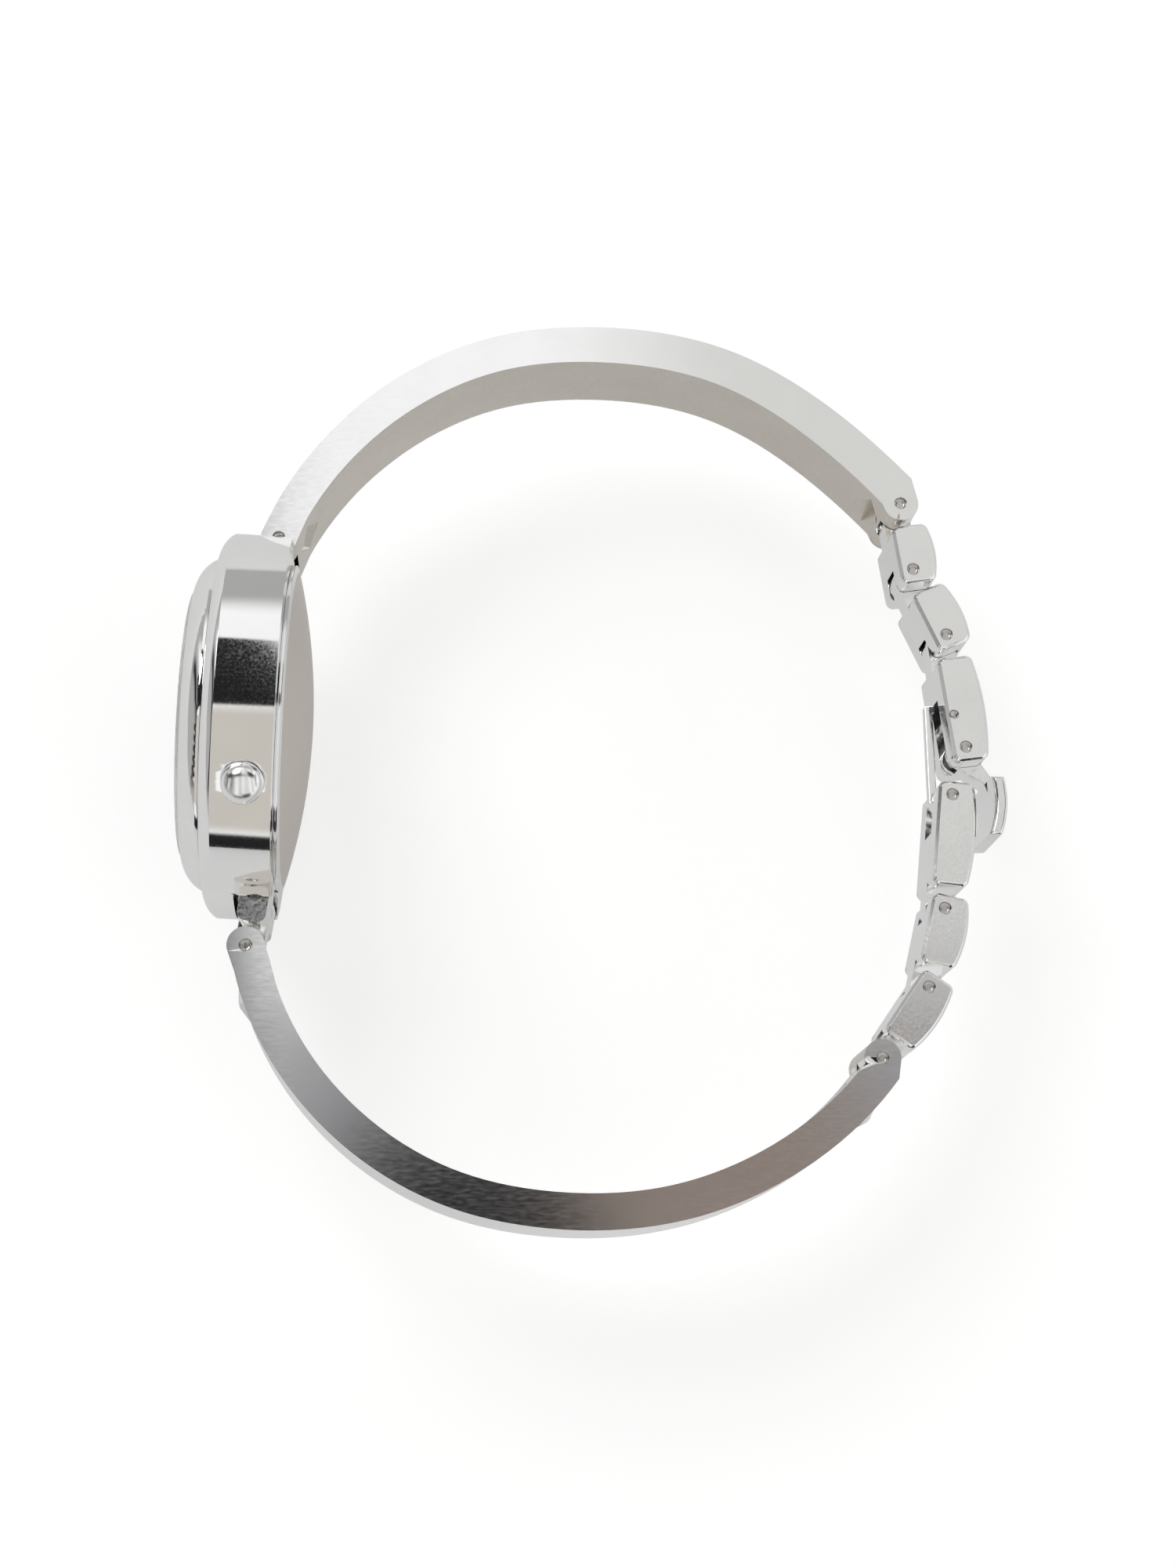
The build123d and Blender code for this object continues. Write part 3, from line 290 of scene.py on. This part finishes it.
def steel(name, tone, smooth=0.05, rough=0.14, streaks=(1, 1, 1), depth=0.002 * MM, wear=0.97):
    """Polished steel with wipe marks in its gloss and hairline scratches."""
    material, tree, shader = new_material(name)
    shader.inputs["Metallic"].default_value = 1
    place = object_place(tree)
    marks = noise(tree, object_place(tree, streaks), 6.0, 4.0)
    cloud = noise(tree, place, 0.35)
    worn = two_tone(tree, spread(tree, cloud, 0, 1), darker(tone, wear), tone)
    tree.links.new(worn, shader.inputs["Base Color"])
    tree.links.new(spread(tree, marks, smooth, rough), shader.inputs["Roughness"])
    bump(tree, shader, marks, 0.15, depth)
    return material


def from_axis(tree, centre, axis):
    """Distance of a point from an axis, in millimetres, and its vector from the centre."""
    place = add_node(tree, "TexCoord")
    away = add_node(tree, "VectorMath", operation="SUBTRACT")
    away.inputs[1].default_value = centre
    tree.links.new(place.outputs["Object"], away.inputs[0])
    cross = add_node(tree, "VectorMath", operation="CROSS_PRODUCT")
    cross.inputs[1].default_value = axis
    tree.links.new(away.outputs[0], cross.inputs[0])
    length = add_node(tree, "VectorMath", operation="LENGTH")
    tree.links.new(cross.outputs[0], length.inputs[0])
    return math_node(tree, "DIVIDE", length.outputs["Value"], MM), away.outputs[0]


def rings(tree, distance, per_mm):
    """Irregular concentric lines, as a lathe leaves."""
    spot = add_node(tree, "CombineXYZ")
    tree.links.new(distance, spot.inputs["X"])
    return noise(tree, spot.outputs[0], per_mm, 3.0)


def turned_steel(name, tone, centre, axis, smooth, rough, per_mm=9.0, rim=None):
    """Satin steel with fine concentric turning marks, polished beyond the rim's radius."""
    material, tree, shader = new_material(name)
    shader.inputs["Metallic"].default_value = 1
    distance, _ = from_axis(tree, centre, axis)
    lines = rings(tree, distance, per_mm)
    colour_of = two_tone(tree, spread(tree, lines, 0, 1), darker(tone, 0.86), tone)
    gloss = spread(tree, lines, smooth, rough)
    if rim:
        outside = math_node(tree, "GREATER_THAN", distance, rim)
        colour_of = blend_tone(tree, outside, colour_of, RIM_TONE)
        gloss = math_node(tree, "MULTIPLY", gloss, math_node(tree, "SUBTRACT", SATIN_GLOSS, outside))
        lines = math_node(tree, "MULTIPLY", lines, math_node(tree, "SUBTRACT", 1, outside))
    bump(tree, shader, lines, 0.35, 0.01 * MM)
    tree.links.new(colour_of, shader.inputs["Base Color"])
    tree.links.new(gloss, shader.inputs["Roughness"])
    return material


def angle_about_dial(tree, away):
    """Turn of a point about the dial's axis, in turns from 12 o'clock."""
    parts = []
    for direction in (dial_axis.cross(twelve), twelve):
        dot = add_node(tree, "VectorMath", operation="DOT_PRODUCT")
        dot.inputs[1].default_value = direction
        tree.links.new(away, dot.inputs[0])
        parts.append(dot.outputs["Value"])
    return math_node(tree, "DIVIDE", math_node(tree, "ARCTAN2", *parts), math.tau)


def dial_finish(tone, ink, marker_tone):
    """Sunray silver dial with sixty printed ticks and polished hour markers."""
    material, tree, shader = new_material("sunray dial")
    shader.inputs["Metallic"].default_value = 0.35
    distance, away = from_axis(tree, dial_centre, dial_axis)
    turn = angle_about_dial(tree, away)
    ray = add_node(tree, "CombineXYZ")
    tree.links.new(turn, ray.inputs["X"])
    sunray = noise(tree, ray.outputs[0], RAYS, 3.0)
    ground = two_tone(tree, spread(tree, sunray, 0, 1), darker(tone, 0.82), tone)
    minute = math_node(tree, "MULTIPLY", turn, MINUTES)
    offset = math_node(tree, "PINGPONG", math_node(tree, "ADD", minute, MINUTES), 0.5)
    tick = math_node(tree, "LESS_THAN", offset, TICK_HALF_WIDTH)
    inside = math_node(tree, "LESS_THAN", distance, TRACK_OUTER)
    outside = math_node(tree, "GREATER_THAN", distance, TRACK_INNER)
    track = math_node(tree, "MULTIPLY", tick, math_node(tree, "MULTIPLY", inside, outside))
    height = add_node(tree, "VectorMath", operation="DOT_PRODUCT")
    height.inputs[1].default_value = dial_axis
    tree.links.new(away, height.inputs[0])
    marker = math_node(tree, "GREATER_THAN", height.outputs["Value"], MARKER_BASE)
    printed = blend_tone(tree, track, ground, ink)
    tree.links.new(blend_tone(tree, marker, printed, marker_tone), shader.inputs["Base Color"])
    tree.links.new(spread(tree, sunray, 0.28, 0.4), shader.inputs["Roughness"])
    return material


def crystal_glass(tone):
    """Clear crystal with a trace of dust in its gloss."""
    material, tree, shader = new_material("crystal glass")
    shader.inputs["Transmission Weight"].default_value = 1
    shader.inputs["IOR"].default_value = 1.5
    shader.inputs["Alpha"].default_value = 0.5
    shader.inputs["Base Color"].default_value = (*tone, 1)
    dust = noise(tree, object_place(tree), 5.0, 5.0)
    tree.links.new(spread(tree, dust, 0.0, 0.04), shader.inputs["Roughness"])
    return material


def plain_finish(name, tone, smooth, rough, grain, depth, metal=0.0):
    """A moulded, rubber or cast surface with fine grain."""
    material, tree, shader = new_material(name)
    shader.inputs["Metallic"].default_value = metal
    pattern = noise(tree, object_place(tree), grain, 4.0)
    grained = two_tone(tree, spread(tree, pattern, 0, 1), darker(tone, 0.85), tone)
    tree.links.new(grained, shader.inputs["Base Color"])
    tree.links.new(spread(tree, pattern, smooth, rough), shader.inputs["Roughness"])
    bump(tree, shader, pattern, 0.3, depth)
    return material


def wound_wire(tone):
    """Fine lacquered wire laid side by side across the coil."""
    material, tree, shader = new_material("wound wire")
    shader.inputs["Metallic"].default_value = 0.8
    wave = add_node(tree, "TexWave", bands_direction="Y")
    wave.inputs["Scale"].default_value = 4.0
    wave.inputs["Distortion"].default_value = 0.4
    tree.links.new(object_place(tree), wave.inputs["Vector"])
    wound = two_tone(tree, wave.outputs["Fac"], darker(tone, 0.5), tone)
    tree.links.new(wound, shader.inputs["Base Color"])
    tree.links.new(spread(tree, wave.outputs["Fac"], 0.3, 0.5), shader.inputs["Roughness"])
    bump(tree, shader, wave.outputs["Fac"], 0.5, 0.02 * MM)
    return material


# Pieces


def deselect():
    bpy.ops.object.select_all(action="DESELECT")


def pick(piece):
    deselect()
    piece.select_set(True)
    bpy.context.view_layer.objects.active = piece


def apply_modifier(piece, kind, name, **settings):
    modifier = piece.modifiers.new(name, kind)
    for key, value in settings.items():
        setattr(modifier, key, value)
    bpy.ops.object.modifier_apply(modifier=modifier.name)


def finish_piece(piece, node, material):
    """Give a piece its finish and its body, and hide the node that it stands for."""
    piece.data.materials.clear()
    piece.data.materials.append(material)
    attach(piece, nodes[node]["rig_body"])
    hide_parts(node)
    return piece


def mark_outer_edges(mesh, angle):
    """Weigh the sharp outer edges for the edge break, and leave inner corners as they are."""
    shape = bmesh.new()
    shape.from_mesh(mesh)
    weight = shape.edges.layers.float.new("bevel_weight_edge")
    for edge in shape.edges:
        if edge.is_manifold and edge.is_convex and edge.calc_face_angle() > angle:
            edge[weight] = 1
    shape.to_mesh(mesh)
    shape.free()


def dress(node, material, edge):
    """Merge a copy of a node's mesh, break its edges and shade its curves smooth."""
    piece = bpy.data.objects.new(node + "_finished", nodes[node].data.copy())
    bpy.context.scene.collection.objects.link(piece)
    pick(piece)
    bpy.ops.mesh.customdata_custom_splitnormals_clear()
    bpy.ops.object.mode_set(mode="EDIT")
    bpy.ops.mesh.select_all(action="SELECT")
    bpy.ops.mesh.remove_doubles(threshold=MERGE_DISTANCE)
    bpy.ops.mesh.dissolve_limited(angle_limit=math.radians(FLAT_DEG))
    bpy.ops.object.mode_set(mode="OBJECT")
    mark_outer_edges(piece.data, math.radians(SMOOTH_DEG))
    apply_modifier(
        piece, "BEVEL", "edge break", width=edge, segments=EDGE_SEGMENTS, limit_method="WEIGHT",
        edge_weight="bevel_weight_edge", use_clamp_overlap=True)
    bpy.ops.object.shade_smooth_by_angle(angle=math.radians(SMOOTH_DEG))
    apply_modifier(piece, "WEIGHTED_NORMAL", "flat faces stay flat", weight=100, keep_sharp=True)
    return finish_piece(piece, node, material)


def line_inside(piece, material, centre):
    """Give the faces that look into the bangle a finish of their own."""
    piece.data.materials.append(material)
    for face in piece.data.polygons:
        inward = Vector((centre.x - face.center.x, centre.y - face.center.y, 0)).normalized()
        if face.normal.dot(inward) > INSIDE_SHARE:
            face.material_index = 1


def turn_piece(name, profile, axis, centre):
    """A turned piece: a circle extruded and scaled up a profile of radii and heights."""
    deselect()
    radius, height = profile[0]
    bpy.ops.mesh.primitive_circle_add(
        vertices=TURNED_SIDES, radius=radius * MM, fill_type="NGON", location=(0, 0, height * MM))
    piece = bpy.context.object
    piece.name = name
    bpy.ops.object.transform_apply(location=True, rotation=True, scale=True)
    bpy.ops.object.mode_set(mode="EDIT")
    for radius_next, height_next in profile[1:]:
        bpy.ops.mesh.extrude_region_move(
            TRANSFORM_OT_translate={"value": (0, 0, (height_next - height) * MM)})
        share = radius_next / radius
        bpy.ops.transform.resize(value=(share, share, 1), center_override=(0, 0, height_next * MM))
        radius, height = radius_next, height_next
    bpy.ops.mesh.select_all(action="SELECT")
    bpy.ops.mesh.normals_make_consistent(inside=False)
    bpy.ops.object.mode_set(mode="OBJECT")
    piece.rotation_euler = axis.to_track_quat("Z", "Y").to_euler()
    piece.location = centre
    bpy.ops.object.transform_apply(location=True, rotation=True, scale=True)
    bpy.ops.object.shade_smooth_by_angle(angle=math.radians(TURNED_SMOOTH_DEG))
    return piece


def carry(node, material):
    """Give a carried-over node its finish."""
    if not nodes[node].material_slots:
        nodes[node].data.materials.append(material)
    for slot in nodes[node].material_slots:
        slot.material = material


class WATCH_OT_arms(bpy.types.Operator):
    """Dress the two rigid arms in polished steel with a bright break along their edges"""
    bl_idname = "watch.arms"
    bl_label = "Bangle arms"

    def execute(self, context):
        sizes = context.scene.watch_sizes
        tone = context.scene.watch_colours.steel
        metal = steel(
            "polished arm steel", tone, smooth=0.07, rough=0.11, streaks=(0.25, 0.9, 1), depth=0.0002 * MM)
        lining = steel(
            "satin arm lining", context.scene.watch_colours.lining,
            smooth=0.26, rough=0.36, streaks=(0.5, 0.5, 3), wear=0.96)
        for node in ("upper_arm", "lower_arm"):
            arm = dress(node, metal, sizes.arm_edge)
            line_inside(arm, lining, Vector((0, 0, 0)))
        return {"FINISHED"}


class WATCH_OT_links(bpy.types.Operator):
    """Dress the end link and the six bracelet links"""
    bl_idname = "watch.links"
    bl_label = "Links"

    def execute(self, context):
        sizes = context.scene.watch_sizes
        tone = context.scene.watch_colours.steel
        metal = steel("polished link steel", tone, smooth=0.08, rough=0.2)
        for node in ("lower_end_link", "link_a", "link_b", "link_c", "link_d", "link_e", "link_f"):
            dress(node, metal, sizes.link_edge)
        return {"FINISHED"}


class WATCH_OT_pins(bpy.types.Operator):
    """Dress the hinge pins and spring bars"""
    bl_idname = "watch.pins"
    bl_label = "Hinge pins"

    def execute(self, context):
        sizes = context.scene.watch_sizes
        tone = context.scene.watch_colours.pin
        metal = steel("pin steel", tone, smooth=0.12, rough=0.3)
        for node in sorted(nodes):
            if node.endswith("_pin") or node.endswith("spring_bar") or node == "clasp_bar":
                dress(node, metal, sizes.pin_edge)
        return {"FINISHED"}


class WATCH_OT_clasp(bpy.types.Operator):
    """Dress the clasp's outer lever and inner blade"""
    bl_idname = "watch.clasp"
    bl_label = "Clasp"

    def execute(self, context):
        sizes = context.scene.watch_sizes
        tone = context.scene.watch_colours.steel
        metal = steel("polished clasp steel", tone, smooth=0.08, rough=0.2, streaks=(1, 0.3, 1))
        for node in ("clasp_lever", "clasp_blade"):
            dress(node, metal, sizes.link_edge)
        return {"FINISHED"}


class WATCH_OT_case(bpy.types.Operator):
    """Dress the case middle and the bezel"""
    bl_idname = "watch.case"
    bl_label = "Case and bezel"

    def execute(self, context):
        sizes = context.scene.watch_sizes
        tone = context.scene.watch_colours.steel
        metal = steel("polished case steel", tone, smooth=0.03, rough=0.09)
        for node in ("case_middle", "bezel"):
            dress(node, metal, sizes.case_edge)
        return {"FINISHED"}


class WATCH_OT_back(bpy.types.Operator):
    """Dress the satin case back with fine concentric turning"""
    bl_idname = "watch.back"
    bl_label = "Case back"

    def execute(self, context):
        sizes = context.scene.watch_sizes
        metal = turned_steel(
            "satin turned steel", context.scene.watch_colours.satin, dial_centre, dial_axis,
            smooth=0.28, rough=0.42, rim=POLISHED_RIM)
        dress("case_back", metal, sizes.pin_edge)
        return {"FINISHED"}


class WATCH_OT_crown(bpy.types.Operator):
    """Dress the crown, its tube and the stem"""
    bl_idname = "watch.crown"
    bl_label = "Crown"

    def execute(self, context):
        colours = context.scene.watch_colours
        cap = steel("polished crown steel", colours.steel, smooth=0.18, rough=0.24)
        stem = steel("stem steel", colours.pin, smooth=0.15, rough=0.3)
        crown = turn_piece("domed_crown", CROWN_PROFILE, crown_axis, crown_centre)
        finish_piece(crown, "crown", cap)
        for node in ("crown_tube", "winding_stem", "setting_lever"):
            carry(node, stem)
        return {"FINISHED"}


class WATCH_OT_crystal(bpy.types.Operator):
    """Dress the crystal and the gaskets"""
    bl_idname = "watch.crystal"
    bl_label = "Crystal and gaskets"

    def execute(self, context):
        sizes = context.scene.watch_sizes
        colours = context.scene.watch_colours
        dress("crystal", crystal_glass(colours.glass), sizes.pin_edge)
        rubber = plain_finish("gasket rubber", colours.rubber, 0.5, 0.8, 12.0, 0.004 * MM)
        for node in ("crystal_gasket", "crown_gasket"):
            carry(node, rubber)
        return {"FINISHED"}


class WATCH_OT_dial(bpy.types.Operator):
    """Give the dial its sunray finish and minute track, and polish the hands"""
    bl_idname = "watch.dial"
    bl_label = "Dial and hands"

    def execute(self, context):
        colours = context.scene.watch_colours
        carry("dial", dial_finish(colours.dial, colours.print_ink, colours.hand))
        hands = steel("hand steel", colours.hand, smooth=0.12, rough=0.22)
        for node in ("hour_hand", "minute_hand"):
            carry(node, hands)
        return {"FINISHED"}


class WATCH_OT_movement(bpy.types.Operator):
    """Finish the movement's plates, wheels, coil, battery and holder"""
    bl_idname = "watch.movement"
    bl_label = "Movement"

    def execute(self, context):
        colours = context.scene.watch_colours
        brass = turned_steel(
            "circular-grained brass", colours.brass, dial_centre, dial_axis,
            smooth=0.25, rough=0.4, per_mm=6.0)
        for node in ("main_plate", "train_bridge", "cannon_pinion", "hour_wheel", "minute_wheel"):
            carry(node, brass)
        metal = steel("movement steel", colours.pin, smooth=0.15, rough=0.3)
        for node in ("battery", "battery_strap", "movement_screws", "step_rotor"):
            carry(node, metal)
        carry("coil", wound_wire(colours.copper))
        carry("movement_holder", plain_finish("moulded holder", colours.plastic, 0.4, 0.6, 8.0, 0.005 * MM))
        return {"FINISHED"}


# Stage


def patch_of_sky(tree, below, direction, tone, inner_deg, outer_deg):
    """A soft-edged round patch of the studio's surroundings, over what lies below it."""
    place = add_node(tree, "TexCoord")
    dot = add_node(tree, "VectorMath", operation="DOT_PRODUCT")
    dot.inputs[1].default_value = Vector(direction).normalized()
    tree.links.new(place.outputs["Generated"], dot.inputs[0])
    edge = soft_step(
        tree, dot.outputs["Value"], math.cos(math.radians(outer_deg)), math.cos(math.radians(inner_deg)))
    return blend_tone(tree, edge, below, tone)


def soft_step(tree, value, low, high):
    """0 below low, 1 above high and a soft rise between them."""
    node = add_node(tree, "MapRange", interpolation_type="SMOOTHSTEP")
    node.inputs["From Min"].default_value = low
    node.inputs["From Max"].default_value = high
    tree.links.new(value, node.inputs["Value"])
    return node.outputs["Result"]


def band_of_sky(tree, below, lean, across, tone, blur_deg, blur_across):
    """A soft-edged band of the surroundings, between two leans from the zenith towards 12 o'clock."""
    place = add_node(tree, "TexCoord")
    parts = add_node(tree, "SeparateXYZ")
    tree.links.new(place.outputs["Generated"], parts.inputs[0])
    turn = math_node(tree, "ARCTAN2", parts.outputs["Y"], parts.outputs["Z"])
    turn = math_node(tree, "DEGREES", turn, 0)
    low = soft_step(tree, turn, lean[0] - blur_deg / 2, lean[0] + blur_deg / 2)
    high = soft_step(tree, turn, lean[1] - blur_deg / 2, lean[1] + blur_deg / 2)
    left = soft_step(tree, parts.outputs["X"], across[0] - blur_across, across[0] + blur_across)
    right = soft_step(tree, parts.outputs["X"], across[1] - blur_across, across[1] + blur_across)
    share = math_node(
        tree, "MULTIPLY", math_node(tree, "SUBTRACT", low, high), math_node(tree, "SUBTRACT", left, right))
    return blend_tone(tree, share, below, tone)


def make_world():
    """White studio with the greyer and darker things that the polished steel reflects."""
    world = bpy.data.worlds.new("studio")
    world.use_nodes = True
    bpy.context.scene.world = world
    tree = world.node_tree
    tree.nodes.clear()
    sky = WHITE
    for band in SKY_BANDS:
        sky = band_of_sky(tree, sky, *band)
    for patch in SKY_PATCHES:
        sky = patch_of_sky(tree, sky, *patch)
    studio = add_node(tree, "Background")
    tree.links.new(sky, studio.inputs["Color"])
    white = add_node(tree, "Background")
    white.inputs["Color"].default_value = (*WHITE, 1)
    path = add_node(tree, "LightPath")
    mix = add_node(tree, "MixShader")
    output = add_node(tree, "OutputWorld")
    tree.links.new(path.outputs["Is Camera Ray"], mix.inputs[0])
    tree.links.new(studio.outputs[0], mix.inputs[1])
    tree.links.new(white.outputs[0], mix.inputs[2])
    tree.links.new(mix.outputs[0], output.inputs["Surface"])


def floor_material(tone):
    """Matt white floor that keeps the shadow and clears to white where the camera sees it."""
    material, tree, shader = new_material("white floor")
    shader.inputs["Roughness"].default_value = 0.9
    shader.inputs["Specular IOR Level"].default_value = 0.1
    grain = noise(tree, object_place(tree), 0.05)
    matt = two_tone(tree, spread(tree, grain, 0, 1), darker(tone, 0.99), tone)
    tree.links.new(matt, shader.inputs["Base Color"])
    path = add_node(tree, "LightPath")
    mirrored = math_node(tree, "MULTIPLY", path.outputs["Is Glossy Ray"], FLOOR_MIRRORED_SHARE)
    seen = math_node(tree, "MAXIMUM", path.outputs["Is Camera Ray"], mirrored)
    seen = math_node(tree, "MAXIMUM", seen, path.outputs["Is Transmission Ray"])
    tree.links.new(math_node(tree, "MULTIPLY", seen, FLOOR_GLOW), shader.inputs["Emission Strength"])
    shader.inputs["Emission Color"].default_value = (*WHITE, 1)
    return material


def make_floor(tone):
    """Floor at the level that the case's edge rests on."""
    deselect()
    bpy.ops.mesh.primitive_plane_add(size=FLOOR_SIZE, location=(0, 0, cad_box[0].z))
    floor = bpy.context.object
    floor.name = "floor"
    floor.data.materials.append(floor_material(tone))


def make_lamps():
    """One broad lamp, high at the upper left, for the soft shadow."""
    lamp = bpy.data.lights.new("softbox", "AREA")
    lamp.shape = "DISK"
    lamp.size = LAMP_SIZE
    lamp.energy = LAMP_POWER
    holder = bpy.data.objects.new("softbox", lamp)
    holder.location = LAMP_PLACE
    holder.rotation_euler = (-holder.location).to_track_quat("-Z", "Y").to_euler()
    bpy.context.scene.collection.objects.link(holder)


def make_camera():
    """Camera at the photograph's place, from its plumb point and focal length."""
    up = Vector((
        PHOTO_WIDTH_PX / 2 - PLUMB_X_PX, PLUMB_Y_PX - PHOTO_HEIGHT_PX / 2, FOCAL_PX)).normalized()
    across = Vector((up.z, 0, -up.x)).normalized()
    along = up.cross(across)
    camera = bpy.data.cameras.new("camera")
    camera.sensor_width = SENSOR
    camera.lens = SENSOR * FOCAL_PX / PHOTO_HEIGHT_PX
    camera.clip_start = CLIP_START
    camera.clip_end = CLIP_END
    holder = bpy.data.objects.new("camera", camera)
    bpy.context.scene.collection.objects.link(holder)
    turn = Matrix((across, along, up))
    holder.matrix_world = Matrix.Translation(CAMERA_PLACE) @ turn.to_4x4()
    bpy.context.scene.camera = holder


class WATCH_OT_stage(bpy.types.Operator):
    """Set the white floor, the studio, the lamp and the camera"""
    bl_idname = "watch.stage"
    bl_label = "Stage"

    def execute(self, context):
        context.scene.view_settings.view_transform = "Standard"
        make_world()
        make_floor(context.scene.watch_colours.floor)
        make_lamps()
        make_camera()
        return {"FINISHED"}


STEPS = (
    WATCH_OT_arms, WATCH_OT_links, WATCH_OT_pins, WATCH_OT_clasp, WATCH_OT_case, WATCH_OT_back,
    WATCH_OT_crown, WATCH_OT_crystal, WATCH_OT_dial, WATCH_OT_movement, WATCH_OT_stage,
)


class WATCH_PT_panel(bpy.types.Panel):
    """The watch's steps, sizes and colours"""
    bl_idname = "WATCH_PT_panel"
    bl_label = "Bangle watch"
    bl_space_type = "VIEW_3D"
    bl_region_type = "UI"
    bl_category = "Watch"

    def draw(self, context):
        for step in STEPS:
            self.layout.operator(step.bl_idname)
        for group in (context.scene.watch_sizes, context.scene.watch_colours):
            for name in group.__annotations__:
                self.layout.prop(group, name)


CLASSES = (WatchSizes, WatchColours, *STEPS, WATCH_PT_panel)


def register():
    for item in CLASSES:
        bpy.utils.register_class(item)
    bpy.types.Scene.watch_sizes = PointerProperty(type=WatchSizes)
    bpy.types.Scene.watch_colours = PointerProperty(type=WatchColours)


def unregister():
    del bpy.types.Scene.watch_colours
    del bpy.types.Scene.watch_sizes
    for item in reversed(CLASSES):
        bpy.utils.unregister_class(item)


def main():
    register()
    for step in STEPS:
        group, name = step.bl_idname.split(".")
        getattr(getattr(bpy.ops, group), name)()


if __name__ == "__main__":
    main()
